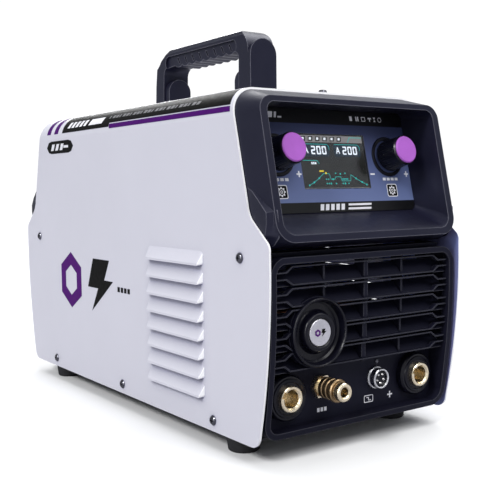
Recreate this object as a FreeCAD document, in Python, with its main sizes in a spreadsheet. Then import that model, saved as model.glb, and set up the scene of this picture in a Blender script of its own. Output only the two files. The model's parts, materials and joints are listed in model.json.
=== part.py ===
"""Portable TIG welding machine: a sheet-metal cover over a base pan, plastic front and rear mouldings,
a tilted control panel in a hood, front connectors, a carrying handle and the inverter inside.

Millimetres. +X is to the right seen from the front, the front faces -Y and +Z is up. The parts are drawn
about the middle of the cover, standing on the floor; on export everything is moved along Y so that the
origin is under the middle of the whole machine, mains lead included.
"""

import FreeCAD, Part
import math
import os
import Sketcher
from FreeCAD import Placement, Rotation, Vector

# --------------------------------------------------------------------------------------------------
# Driving dimensions, millimetres and degrees
# --------------------------------------------------------------------------------------------------

SIZES = {
    # casing
    "footprint_middle_y": 19.92,
    "sheet": 1.5,
    "cover_width": 190.0,
    "cover_bottom": 14.0,
    "cover_top": 268.0,
    "cover_roll": 21.0,
    "edge_low_half": 207.9,
    "edge_low_height": 24.0,
    "edge_bulge_radius": 532.0,
    "edge_high_half": 220.4,
    "edge_high_height": 152.0,
    "edge_corner": 10.5,
    "shoulder_half": 217.2,
    "shoulder_height": 159.6,
    "shoulder_radius": 8.0,
    "throat_half": 200.2,
    "throat_height": 174.0,
    "neck_half": 195.3,
    "neck_height": 184.5,
    "throat_radius": 18.8,
    "brow_half": 174.7,
    "louvre_count": 8,
    "louvre_pitch": 14.4,
    "louvre_low": 37.2,
    "louvre_front": 137.0,
    "louvre_back": 52.5,
    "louvre_rise": 11.5,
    "louvre_stand": 4.2,
    "side_screw_half": 186.0,
    "side_screw_height": 147.0,
    "low_screw_height": 22.5,
    "low_screw_half": 148.5,
    "screw_hole": 4.3,
    "screw_head": 7.6,
    "screw_head_rise": 2.0,
    "screw_shank": 4.0,
    "top_screw_y": 164.5,
    "pan_height": 16.5,
    "pan_half_length": 196.0,
    "pan_flange": 16.0,
    "foot_x": 76.0,
    "foot_y": 161.0,
    "foot_top": 28.0,
    "foot_bottom": 24.0,
    "foot_height": 16.5,
    # front and rear mouldings
    "panel_half_width": 91.0,
    "panel_low": 18.0,
    "panel_high": 148.0,
    "panel_corner": 13.0,
    "panel_rim": 4.5,
    "panel_back": 180.0,
    "panel_bow_half": 217.2,
    "panel_bow_height": 130.0,
    "panel_wall": 2.5,
    "grille_depth": 3.2,
    "pocket_top": 65.5,
    "pocket_face": 196.0,
    "slot_pitch": 15.35,
    "slot_first": 134.9,
    "slot_height": 11.7,
    "slot_half": 70.3,
    "slot_tip_half": 75.6,
    "slot_neck": 3.9,
    "slot_line": 0.9,
    "slot_relief": 0.8,
    "rib_half_span": 39.0,
    "badge_x": -46.5,
    "badge_height": 92.6,
    "badge_size": 50.0,
    "badge_seat": 209.0,
    # display hood
    "face_tilt": 12.36,
    "face_y": 202.5,
    "face_z": 251.0,
    "edge_tilt": 13.9,
    "hood_half": 93.0,
    "hood_top": 266.4,
    "hood_low": 153.0,
    "rim_half": 88.3,
    "rim_top": 260.0,
    "rim_low": 158.3,
    "rim_width": 5.6,
    "overlay_tilt": 13.2,
    "overlay_y": 178.0,
    "overlay_z": 215.0,
    "overlay_corner": 5.2,
    "overlay_half": 79.0,
    "overlay_low": 176.7,
    "overlay_high": 255.6,
    "lcd_half": 33.75,
    "lcd_low": 194.5,
    "lcd_high": 236.5,
    # knobs
    "knob_x": 56.0,
    "knob_rise": 219.4,
    "knob_size": 25.0,
    "knob_length": 20.0,
    "cap_size": 21.4,
    "dial_size": 32.5,
    "shaft_size": 6.0,
    "push_travel": 0.5,
    # front connectors
    "socket_x": 65.4,
    "socket_height": 45.3,
    "socket_collar": 34.0,
    "socket_brass": 19.2,
    "socket_bore": 13.0,
    "socket_face": 207.0,
    "key_angle": 62.0,
    "gas_x": -31.0,
    "gas_height": 48.4,
    "torch_x": 25.6,
    "torch_height": 46.9,
    # handle
    "handle_half": 13.75,
    "handle_front": 85.5,
    "handle_rear": 75.5,
    "handle_top": 330.5,
    "grip_under": 313.6,
    "grip_rounding": 5.0,
    # rear fittings
    "rear_face_y": 196.0,
    "rear_rim_half": 82.0,
    "fan_front_y": 174.0,
    "fan_size": 120.0,
    "fan_depth": 25.0,
    "fan_height": 84.0,
    "fan_bore": 114.0,
    "fan_rotor": 108.0,
    "fan_hub": 42.0,
    "fan_screw_half": 52.5,
    "guard_y": 217.3,
    "switch_x": -48.0,
    "switch_height": 206.0,
    "rocker_rest": -9.0,
    "gland_x": 46.0,
    "gland_height": 206.0,
    "inlet_x": 72.0,
    # inside the case
    "heatsink_height": 52.0,
    "board_height": 78.0,
    "valve_y": 160.0,
}

doc = FreeCAD.newDocument("tig_welder")
sheet = doc.addObject("Spreadsheet::Sheet", "Sizes")
for row, (alias, number) in enumerate(SIZES.items(), start=1):
    sheet.set(f"A{row}", alias)
    sheet.set(f"B{row}", str(number))
    sheet.setAlias(f"B{row}", alias)
doc.recompute()


class Size:
    """A number together with the spreadsheet expression that gives it."""

    def __init__(self, value, text):
        self.value = float(value)
        self.text = text

    def __float__(self):
        return self.value

    def __add__(self, other):
        return join(self, "+", other, self.value + float(other))

    def __radd__(self, other):
        return join(other, "+", self, float(other) + self.value)

    def __sub__(self, other):
        return join(self, "-", other, self.value - float(other))

    def __rsub__(self, other):
        return join(other, "-", self, float(other) - self.value)

    def __mul__(self, other):
        return join(self, "*", other, self.value * float(other))

    def __rmul__(self, other):
        return join(other, "*", self, float(other) * self.value)

    def __truediv__(self, other):
        return join(self, "/", other, self.value / float(other))

    def __neg__(self):
        return Size(-self.value, f"(-{self.text})")


def text_of(number):
    return number.text if isinstance(number, Size) else repr(float(number))


def join(left, sign, right, value):
    return Size(value, f"({text_of(left)} {sign} {text_of(right)})")


def tangent(angle):
    return Size(math.tan(math.radians(float(angle))), f"tan({text_of(angle)} * 1 deg)")


D = {alias: Size(sheet.get(alias), f"Sizes.{alias}") for alias in SIZES}


# --------------------------------------------------------------------------------------------------
# Building helpers
# --------------------------------------------------------------------------------------------------


def bind(thing, prop, number):
    """Ties a property to the spreadsheet, or sets it where the number is a plain one."""
    if isinstance(number, Size):
        thing.setExpression(prop, number.text)
    elif "." in prop:
        thing.setExpression(prop, repr(float(number)))
    else:
        setattr(thing, prop, number)


def place(thing, x=0, y=0, z=0, axis=(0, 0, 1), angle=0):
    """Puts a sub-part at x, y, z, turned by angle about axis."""
    turn = Rotation(Vector(*axis), float(angle))
    thing.Placement = Placement(Vector(float(x), float(y), float(z)), turn)
    for letter, number in zip("xyz", (x, y, z)):
        if isinstance(number, Size):
            thing.setExpression(f"Placement.Base.{letter}", number.text)
    return thing


def new_body(label):
    body = doc.addObject("PartDesign::Body", label)
    body.Label = label
    return body


def origin_part(body, role):
    return next(item for item in body.Origin.OriginFeatures if item.Role == role)


def new_sketch(body, name, role, shift=0, tilt=0):
    """A sketch on an origin plane, shifted along the plane's normal, tilted about its own x axis."""
    sketch = body.newObject("Sketcher::SketchObject", name)
    sketch.AttachmentSupport = (origin_part(body, role), "")
    sketch.MapMode = "FlatFace"
    turn = Rotation(Vector(1, 0, 0), float(tilt))
    sketch.AttachmentOffset = Placement(Vector(0, 0, float(shift)), turn)
    if isinstance(shift, Size):
        sketch.setExpression("AttachmentOffset.Base.z", shift.text)
    return sketch


def hold(sketch, geometry, end, point):
    """Fixes one end of a piece of geometry by its two coordinates."""
    for kind, number in zip(("DistanceX", "DistanceY"), point):
        constraint = Sketcher.Constraint(kind, -1, 1, geometry, end, float(number))
        index = sketch.addConstraint(constraint)
        if isinstance(number, Size):
            sketch.setExpression(f"Constraints[{index}]", number.text)


def arc_between(start, finish, radius):
    """The minor arc between two points; a positive radius turns left, a negative one right."""
    p = Vector(float(start[0]), float(start[1]), 0)
    q = Vector(float(finish[0]), float(finish[1]), 0)
    size = abs(float(radius))
    half = (q - p) * 0.5
    rise = math.sqrt(max(size * size - half.Length * half.Length, 0.0))
    left = Vector(-half.y, half.x, 0).normalize()
    turn = 1 if float(radius) > 0 else -1
    centre = p + half + left * (rise * turn)
    first, last = (p, q) if turn > 0 else (q, p)
    a = math.atan2(first.y - centre.y, first.x - centre.x)
    b = math.atan2(last.y - centre.y, last.x - centre.x)
    if b < a:
        b += 2 * math.pi
    return Part.ArcOfCircle(Part.Circle(centre, Vector(0, 0, 1), size), a, b)


def outline(sketch, points):
    """A closed outline. Each corner is (x, y), or (x, y, r) where the next stretch is an arc."""
    count = len(points)
    for i, corner in enumerate(points):
        after = points[(i + 1) % count]
        if len(corner) == 3:
            arc = arc_between(corner, after, corner[2])
            index = sketch.addGeometry(arc, False)
            head, tail = (1, 2) if float(corner[2]) > 0 else (2, 1)
            hold(sketch, index, head, corner[:2])
            hold(sketch, index, tail, after[:2])
            radius = abs(float(corner[2]))
            ring = sketch.addConstraint(Sketcher.Constraint("Radius", index, radius))
            if isinstance(corner[2], Size):
                sign = "" if float(corner[2]) > 0 else "-"
                sketch.setExpression(f"Constraints[{ring}]", f"{sign}{corner[2].text}")
        else:
            p = Vector(float(corner[0]), float(corner[1]), 0)
            q = Vector(float(after[0]), float(after[1]), 0)
            index = sketch.addGeometry(Part.LineSegment(p, q), False)
            hold(sketch, index, 1, corner[:2])
            hold(sketch, index, 2, after[:2])
    return sketch


def round_box(x0, y0, x1, y1, r):
    """Corners of a rectangle with rounded corners, anticlockwise."""
    return [
        (x0 + r, y0), (x1 - r, y0, r), (x1, y0 + r), (x1, y1 - r, r),
        (x1 - r, y1), (x0 + r, y1, r), (x0, y1 - r), (x0, y0 + r, r),
    ]


def circle(sketch, x, y, radius):
    ring = Part.Circle(Vector(float(x), float(y), 0), Vector(0, 0, 1), float(radius))
    index = sketch.addGeometry(ring, False)
    hold(sketch, index, 3, (x, y))
    at = sketch.addConstraint(Sketcher.Constraint("Radius", index, float(radius)))
    if isinstance(radius, Size):
        sketch.setExpression(f"Constraints[{at}]", radius.text)
    return sketch


def pad(body, name, sketch, length, both=False, back=False):
    feature = body.newObject("PartDesign::Pad", name)
    feature.Profile = sketch
    bind(feature, "Length", length)
    feature.SideType = "Symmetric" if both else "One side"
    feature.Reversed = back
    sketch.Visibility = False
    return feature


def pocket(body, name, sketch, length=None, both=False, back=False):
    """Cuts a sketch into the body; with no length it cuts right through."""
    feature = body.newObject("PartDesign::Pocket", name)
    feature.Profile = sketch
    if length is None:
        feature.Type = "ThroughAll"
    else:
        bind(feature, "Length", length)
    feature.SideType = "Symmetric" if both else "One side"
    feature.Reversed = back
    return feature


def loft(body, name, sections, cut=False):
    kind = "PartDesign::SubtractiveLoft" if cut else "PartDesign::AdditiveLoft"
    feature = body.newObject(kind, name)
    feature.Profile = sections[0]
    feature.Sections = list(sections[1:])
    feature.Ruled = True
    return feature


def edges_that(shape, test):
    """Names of the edges whose middle point and direction pass a test."""
    names = []
    for number, edge in enumerate(shape.Edges, start=1):
        middle = edge.valueAt((edge.FirstParameter + edge.LastParameter) / 2)
        along = edge.tangentAt((edge.FirstParameter + edge.LastParameter) / 2)
        if test(middle, along):
            names.append(f"Edge{number}")
    return names


def dress(body, name, test, size, kind="PartDesign::Fillet"):
    """Fillets, or chamfers, the edges of the body's tip that pass a test."""
    doc.recompute()
    base = body.Tip
    names = edges_that(base.Shape, test)
    feature = body.newObject(kind, name)
    feature.Base = (base, names)
    bind(feature, "Radius" if kind.endswith("Fillet") else "Size", size)
    return feature


def turned(label, points, x=0, y=0, z=0, axis=(0, 0, 1), angle=0):
    """A body of revolution: the outline is (radius, height) about the body's own Z axis."""
    body = new_body(label)
    profile = outline(new_sketch(body, f"{label}_profile", "XZ_Plane"), points)
    feature = body.newObject("PartDesign::Revolution", f"{label}_turn")
    feature.Profile = profile
    feature.ReferenceAxis = (profile, ["V_Axis"])
    feature.Angle = 360.0
    place(body, x, y, z, axis, angle)
    return body


def primitive(kind, name, sizes, x=0, y=0, z=0, axis=(0, 0, 1), angle=0):
    thing = doc.addObject(f"Part::{kind}", name)
    for prop, number in sizes.items():
        bind(thing, prop, number)
    return place(thing, x, y, z, axis, angle)


def block(name, x0, y0, z0, x1, y1, z1):
    """A box between two opposite corners."""
    spans = {"Length": x1 - x0, "Width": y1 - y0, "Height": z1 - z0}
    return primitive("Box", name, spans, x0, y0, z0)


def rod(name, radius, length, x, y, z, axis=(0, 0, 1), angle=0):
    return primitive("Cylinder", name, {"Radius": radius, "Height": length}, x, y, z, axis, angle)


def fuse(name, parts):
    thing = doc.addObject("Part::MultiFuse", name)
    thing.Shapes = list(parts)
    return thing


def cut(name, base, tool):
    thing = doc.addObject("Part::Cut", name)
    thing.Base = base
    thing.Tool = tool
    return thing


def group(name, parts):
    """Several separate solids under one name."""
    thing = doc.addObject("Part::Compound", name)
    thing.Links = list(parts)
    return thing


NODES = []


def node(thing, label):
    """Marks a finished sub-part: its label names its file."""
    thing.Label = label
    NODES.append(thing)
    return thing


FRONT = (1, 0, 0)      # turning by +90 degrees about X points a part's own Z axis at the front


# --------------------------------------------------------------------------------------------------
# Casing
# --------------------------------------------------------------------------------------------------


def side_edge():
    """The front edge of the cover's side, from the bottom up, as (distance ahead of the middle, height)."""
    return [
        (D["edge_low_half"] - 9.9, D["cover_bottom"], D["edge_corner"]),
        (D["edge_low_half"], D["edge_low_height"], D["edge_bulge_radius"]),
        (D["edge_high_half"], D["edge_high_height"], D["shoulder_radius"]),
        (D["shoulder_half"], D["shoulder_height"]),
        (D["throat_half"], D["throat_height"], -D["throat_radius"]),
        (D["neck_half"], D["neck_height"]),
        (D["brow_half"], D["cover_top"]),
    ]


def side_outline():
    """The whole side of the cover, seen from the right, the same at the front and the rear."""
    rear = side_edge()
    front = []
    for i in range(len(rear) - 1, -1, -1):
        y, z = rear[i][:2]
        arc = rear[i - 1][2:] if i > 0 else ()
        front.append((-y, z) + arc)
    return rear + front


def add_louvres(body, side):
    """A column of pressed-out louvres, open downwards, on one side of the cover."""
    name = "left" if side < 0 else "right"
    skin = side * D["cover_width"] / 2
    low = D["louvre_low"]
    front = -D["louvre_front"]
    back = -D["louvre_back"]
    root = outline(
        new_sketch(body, f"{name}_louvre_root", "YZ_Plane", skin - side * 0.2),
        round_box(front, low, back, low + D["louvre_rise"], 3.0),
    )
    lip = outline(
        new_sketch(body, f"{name}_louvre_lip", "YZ_Plane", skin + side * D["louvre_stand"]),
        round_box(front + 2.0, low, back - 2.0, low + 1.8, 0.8),
    )
    shell = loft(body, f"{name}_louvre_shell", [root, lip])
    mouth = outline(
        new_sketch(body, f"{name}_louvre_mouth", "YZ_Plane", skin - side * (D["sheet"] + 0.1)),
        round_box(front + 1.6, low - 0.1, back - 1.6, low + D["louvre_rise"] - 1.4, 2.0),
    )
    throat = outline(
        new_sketch(body, f"{name}_louvre_throat", "YZ_Plane", skin + side * (D["louvre_stand"] - 1.1)),
        round_box(front + 3.2, low - 0.1, back - 3.2, low + 1.6, 0.6),
    )
    hollow = loft(body, f"{name}_louvre_hollow", [mouth, throat], cut=True)
    row = body.newObject("PartDesign::LinearPattern", f"{name}_louvre_row")
    row.Originals = [shell, hollow]
    row.Direction = (origin_part(body, "Z_Axis"), [""])
    row.Mode = "Spacing"
    bind(row, "Offset", D["louvre_pitch"])
    row.Occurrences = int(SIZES["louvre_count"])
    body.Tip = row


def make_cover():
    """The folded sheet cover with rolled upper edges, screw holes and louvres."""
    body = new_body("cover")
    side = outline(new_sketch(body, "cover_side", "YZ_Plane"), side_outline())
    pad(body, "cover_block", side, D["cover_width"], both=True)
    top = float(D["cover_top"])
    half = float(D["cover_width"]) / 2
    dress(
        body, "cover_rolls",
        lambda p, t: abs(p.z - top) < 0.1 and abs(abs(p.x) - half) < 0.1 and abs(t.y) > 0.9,
        D["cover_roll"],
    )
    inner = D["cover_width"] / 2 - D["sheet"]
    ceiling = D["cover_top"] - D["sheet"]
    roll = D["cover_roll"] - D["sheet"]
    tunnel = outline(
        new_sketch(body, "cover_tunnel", "XZ_Plane"),
        [(-inner, -1.0), (inner, -1.0), (inner, ceiling - roll, roll), (inner - roll, ceiling),
         (roll - inner, ceiling, roll), (-inner, ceiling - roll)],
    )
    pocket(body, "cover_hollow", tunnel, both=True)
    holes = new_sketch(body, "cover_screw_holes", "YZ_Plane")
    for y, z in side_screw_places():
        circle(holes, y, z, D["screw_hole"] / 2)
    pocket(body, "cover_holes", holes, both=True)
    top_holes = new_sketch(body, "cover_top_holes", "XY_Plane", D["cover_top"])
    for y in handle_screw_places():
        circle(top_holes, 0.0, y, 2.7)
    circle(top_holes, 0.0, -D["top_screw_y"], D["screw_hole"] / 2)
    pocket(body, "cover_handle_holes", top_holes, 8.0)
    for side_sign in (-1, 1):
        add_louvres(body, side_sign)
    return node(body, "cover")


def side_screw_places():
    """Places of the screws on each side of the cover, as (y, z)."""
    upper = [(s * D["side_screw_half"], D["side_screw_height"]) for s in (-1, 1)]
    lower = [(s * D["low_screw_half"], D["low_screw_height"]) for s in (-1, 0, 1)]
    return upper + lower


# --------------------------------------------------------------------------------------------------
# Front moulding with the air grille and the connector pocket
# --------------------------------------------------------------------------------------------------


def bow(z, inset=0):
    """Distance ahead of the middle of the mouldings' bowed face at a height."""
    drop = D["panel_bow_height"] - z
    return D["panel_bow_half"] - 0.00085 * drop * drop - inset


def bowed_block(label, x_half, low, high, ahead, behind, side=-1):
    """A block across the machine between two faces that share the mouldings' bow.

    ahead and behind are insets from the bowed face; behind may be a plain distance from the middle.
    """
    radius = side * D["edge_bulge_radius"]
    body = new_body(label)
    sketch = new_sketch(body, f"{label}_profile", "YZ_Plane")
    points = [
        (side * bow(low, ahead), low, radius),
        (side * bow(high, ahead), high),
    ]
    if isinstance(behind, Size):
        points += [(side * behind, high), (side * behind, low)]
    else:
        points += [(side * bow(high, behind), high, -radius), (side * bow(low, behind), low)]
    outline(sketch, points)
    pad(body, f"{label}_pad", sketch, x_half * 2, both=True)
    return body


def slot_height(index):
    return D["slot_first"] - D["slot_pitch"] * index


def slot_points(z, spread, arm=0):
    """Six-sided slot of the grille, grown by spread, with its points drawn out to arm on both sides."""
    half = D["slot_half"] + spread * 0.5
    tip = D["slot_tip_half"] + spread
    rise = D["slot_height"] / 2 + spread
    neck = D["slot_neck"] / 2 + spread
    right = [(half, z - rise), (tip, z - neck), (tip, z + neck), (half, z + rise)]
    if arm:
        right = [(half, z - rise), (tip, z - neck), (arm, z - neck), (arm, z + neck), (tip, z + neck),
                 (half, z + rise)]
    left = [(-x, y) for x, y in reversed(right)]
    return right + left


def front_slab(label, wires, length, y):
    """Outlines in the front view, given thickness backwards from y."""
    body = new_body(label)
    sketch = new_sketch(body, f"{label}_sketch", "XZ_Plane", y)
    for wire in wires:
        outline(sketch, wire)
    pad(body, f"{label}_pad", sketch, length, back=True)
    return body


def panel_shell(label, side):
    """The moulding's outer block with rounded corners, common to the front and the rear."""
    low = D["panel_low"]
    high = D["panel_high"]
    half = D["panel_half_width"]
    body = bowed_block(label, half, low, high, 0, D["panel_back"], side)
    dress(
        body, f"{label}_corners",
        lambda p, t: abs(abs(p.x) - float(half)) < 0.1 and abs(t.y) > 0.9,
        D["panel_corner"],
    )
    return body


def cut_recess(body, label, side, depth):
    """The shallow recess inside the rim, following the bow."""
    rim = D["panel_rim"]
    low = D["panel_low"] + rim
    high = D["panel_high"] - rim
    radius = side * D["edge_bulge_radius"]
    sketch = outline(
        new_sketch(body, f"{label}_recess_profile", "YZ_Plane"),
        [(side * bow(low, depth), low, radius), (side * bow(high, depth), high),
         (side * 240.0, high), (side * 240.0, low)],
    )
    pocket(body, f"{label}_recess", sketch, (D["panel_half_width"] - rim) * 2, both=True)


def round_recess(body, label):
    inner = float(D["panel_half_width"] - D["panel_rim"])
    ends = (float(D["panel_low"] + D["panel_rim"]), float(D["panel_high"] - D["panel_rim"]))
    dress(
        body, f"{label}_recess_corners",
        lambda p, t: abs(abs(p.x) - inner) < 0.1 and abs(t.y) > 0.9
        and min(abs(p.z - ends[0]), abs(p.z - ends[1])) < 0.1,
        D["panel_corner"] - D["panel_rim"],
    )


def make_front_frame():
    """Lower front moulding: rim, slotted grille with blades, badge seat and connector bay."""
    depth = D["grille_depth"] - D["slot_relief"]
    body = panel_shell("front_shell", -1)
    cut_recess(body, "front", -1, depth)
    inner = D["panel_half_width"] - D["panel_rim"]
    low = D["panel_low"] + D["panel_rim"]
    high = D["panel_high"] - D["panel_rim"]
    face = D["pocket_face"]
    wall = D["panel_wall"]
    top = D["pocket_top"]
    bay = outline(
        new_sketch(body, "front_bay_profile", "YZ_Plane"),
        [(-240.0, low), (-face, low), (-face, top), (-240.0, top)],
    )
    pocket(body, "front_bay", bay, inner * 2, both=True)
    round_recess(body, "front")
    back = D["panel_back"] - 5.0
    hollow = outline(
        new_sketch(body, "front_hollow_profile", "YZ_Plane"),
        [(-back, low - 2.0), (-(face - wall), low - 2.0), (-(face - wall), top + wall),
         (-bow(top + wall, D["grille_depth"] + wall), top + wall),
         (-bow(high + 2.0, D["grille_depth"] + wall), high + 2.0), (-back, high + 2.0)],
    )
    pocket(body, "front_hollow", hollow, (inner + 2.0) * 2, both=True)
    slots = new_sketch(body, "front_slots_sketch", "XZ_Plane")
    for index in range(5):
        outline(slots, slot_points(slot_height(index), 0))
    pocket(body, "front_slots", slots, both=True)
    relief = slot_relief_tool(inner, low, high, depth)
    parts = [cut("front_relieved", body, relief)]
    parts += grille_blades()
    parts.append(badge_boss())
    parts.append(block("front_brow", -88.0, -203.0, 143.0, 88.0, -186.0, 150.3))
    whole = fuse("front_fused", parts)
    seat = rod("badge_seat", D["badge_size"] / 2 + 0.2, 12.0,
               D["badge_x"], -D["badge_seat"], D["badge_height"], FRONT, 90)
    trimmed = cut("front_trimmed", whole, seat)
    holes = [
        rod("left_socket_hole", 13.8, 12.0, -D["socket_x"], -190.0, D["socket_height"], FRONT, 90),
        rod("right_socket_hole", 13.8, 12.0, D["socket_x"], -190.0, D["socket_height"], FRONT, 90),
        rod("gas_hole", 5.2, 12.0, D["gas_x"], -190.0, D["gas_height"], FRONT, 90),
        rod("torch_hole", 7.6, 12.0, D["torch_x"], -190.0, D["torch_height"], FRONT, 90),
        rod("front_screw_hole", 1.6, 12.0, D["torch_x"] + 1.6, -190.0, 59.4, FRONT, 90),
    ]
    drilled = cut("front_drilled", trimmed, fuse("front_holes", holes))
    return node(with_lugs("front", drilled, -1), "front_frame")


def with_lugs(label, moulding, side):
    """Adds the two drilled lugs that take the cover's upper side screws."""
    y, z = side_screw_places()[0 if side < 0 else 1]
    half = D["panel_half_width"]
    near = y - 6.0
    parts = [moulding]
    drills = []
    for hand in (-1, 1):
        inner = hand * (half - 5.0)
        outer = hand * half
        left, right = (inner, outer) if hand > 0 else (outer, inner)
        parts.append(block(f"{label}_lug_{hand + 1}", left, near, z - 9.0, right, near + 12.0, z + 3.4))
        start = hand * (half - 12.0)
        drills.append(rod(f"{label}_lug_hole_{hand + 1}", 2.1, 20.0, start, y, z, (0, 1, 0), 90 * hand))
    solid = fuse(f"{label}_with_lugs", parts)
    return cut(f"{label}_lugs_drilled", solid, fuse(f"{label}_lug_holes", drills))


def slot_relief_tool(inner, low, high, depth):
    """What is cut away to leave a fine raised line round every slot."""
    skin = bowed_block("relief_skin", inner, low, high, depth - 1.0, depth + D["slot_relief"])
    sheet_tool = block("relief_sheet", -inner, -230.0, D["pocket_top"], inner, -200.0, high)
    lines = front_slab(
        "relief_lines",
        [slot_points(slot_height(i), D["slot_line"], inner + 2.0) for i in range(5)], 40.0, 235.0,
    )
    webs = cut("relief_webs", sheet_tool, lines)
    necks = []
    for index in range(5):
        z = slot_height(index)
        rise = D["slot_neck"] / 2
        for side in (-1, 1):
            near = side * D["slot_tip_half"]
            far = side * inner
            x0, x1 = (far, near) if side < 0 else (near, far)
            necks.append(block(f"neck_{index}_{side + 1}", x0, -230.0, z - rise, x1, -200.0, z + rise))
    mask = fuse("relief_mask", [webs] + necks)
    tool = doc.addObject("Part::MultiCommon", "relief_tool")
    tool.Shapes = [skin, mask]
    return tool


def grille_blades():
    """Sloping blades behind the slots and the upright ribs that carry them."""
    body = new_body("blades")
    sketch = new_sketch(body, "blades_profile", "YZ_Plane")
    for index in range(5):
        z = slot_height(index) - D["slot_height"] / 2
        y = -bow(z, D["grille_depth"])
        outline(sketch, [(y + 1.2, z - 1.6), (y + 2.8, z - 1.9), (y + 12.2, z + 8.2), (y + 11.0, z + 9.2)])
    pad_feature = pad(body, "blades_pad", sketch, (D["panel_half_width"] - D["panel_rim"]) * 2, both=True)
    body.AllowCompound = True
    pad_feature.Refine = False
    ribs = []
    span = D["rib_half_span"]
    uprights = (("left", -span, 0.8, 3.0), ("middle", 0.0, 1.95, 1.0), ("right", span, 0.8, 2.8))
    for name, x, half, inset in uprights:
        for index in range(5):
            z = slot_height(index)
            y = -bow(z, D["grille_depth"] + inset)
            ribs.append(block(f"{name}_rib_{index}", x - half, y, z - 8.2, x + half, y + 10.5, z + 8.2))
    return [body] + ribs


def badge_boss():
    """The round pad behind the badge, standing through the grille."""
    back = -D["badge_seat"] + 3.5
    return rod("badge_boss", D["badge_size"] / 2 + 0.8, 7.0, D["badge_x"], back, D["badge_height"], FRONT, 90)


# --------------------------------------------------------------------------------------------------
# Display hood, and the shape that it shares with the top of the rear moulding
# --------------------------------------------------------------------------------------------------


def leaning_sketch(body, name, side, half_at_height, height, tilt):
    """A sketch on a plane that faces the front (side -1) or the rear (+1) and leans towards the middle.

    The plane passes half_at_height from the middle at height; sketch heights are given along the slope.
    """
    foot = half_at_height + height * tangent(tilt)
    return new_sketch(body, name, "XZ_Plane", -side * foot, side * float(tilt))


def slope(z, tilt):
    """A height measured along a plane that leans by tilt."""
    return z / math.cos(math.radians(float(tilt)))


def cross_section(half, low, high, low_corner, high_corner, tilt):
    low = slope(low, tilt)
    high = slope(high, tilt)
    return [
        (-half + low_corner, low), (half - low_corner, low, low_corner), (half, low + low_corner),
        (half, high - high_corner, high_corner), (half - high_corner, high),
        (-half + high_corner, high, high_corner), (-half, high - high_corner),
        (-half, low + low_corner, low_corner),
    ]


def cheek(body, name, side, hand, set_back):
    """The full-width flare low on the hood's side, under the scooped part."""
    far_out = 215.0 - set_back * 0.4
    rim = 220.4 - set_back
    outer = [(188.0, 152.4), (202.0, 153.4), (far_out - 5.3, 157.7), (far_out - 1.6, 164.3), (far_out, 172.0),
             (far_out - 0.3, 179.2), (207.0, 186.4), (199.0, 193.6), (188.0, 199.0)]
    inner = [(188.0, 152.4), (203.5, 152.8), (rim - 5.9, 156.4), (rim, 162.4), (rim - 0.6, 172.0),
             (rim - 1.8, 180.6), (207.4, 188.6), (199.0, 196.0), (188.0, 201.0)]
    far = D["hood_half"]
    near = D["hood_half"] - 7.0
    sections = []
    for tag, x, points in (("out", far, outer), ("in", near, inner)):
        sketch = new_sketch(body, f"{name}_{tag}", "YZ_Plane", hand * x)
        sections.append(outline(sketch, [(side * y, z) for y, z in points]))
    loft(body, name, sections)


def hood_block(label, side, rim_half, rim_half_y, plug):
    """A tapered hood from the cover's upper edge out to a rim, with a plug that enters the cover."""
    body = new_body(label)
    edge = leaning_sketch(body, f"{label}_edge", side, D["brow_half"] + 4.0, 252.0, D["edge_tilt"])
    outline(edge, cross_section(D["hood_half"], D["hood_low"], D["hood_top"], 6.0, 19.0, D["edge_tilt"]))
    rim = leaning_sketch(body, f"{label}_rim", side, rim_half_y, D["face_z"], D["face_tilt"])
    outline(rim, cross_section(rim_half, D["rim_low"], D["rim_top"], 15.0, 11.0, D["face_tilt"]))
    loft(body, f"{label}_taper", [edge, rim])
    neck = leaning_sketch(body, f"{label}_neck", side, D["brow_half"] + 4.4, 252.0, D["edge_tilt"])
    outline(neck, cross_section(D["hood_half"] - 1.6, 155.0, D["hood_top"] - 1.9, 6.0, 17.5, D["edge_tilt"]))
    pad(body, f"{label}_plug", neck, plug, back=side < 0)
    for hand in (-1, 1):
        cheek(body, f"{label}_cheek_{hand + 1}", side, hand, float(D["face_y"] - rim_half_y))
    return body


def panel_sketch(body, name, out):
    """A sketch parallel to the control panel, at a distance out in front of it."""
    return leaning_sketch(body, name, -1, D["overlay_y"] + out, D["overlay_z"], D["overlay_tilt"])


def up_panel(z):
    """A height measured along the control panel."""
    return slope(z, D["overlay_tilt"])


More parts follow.
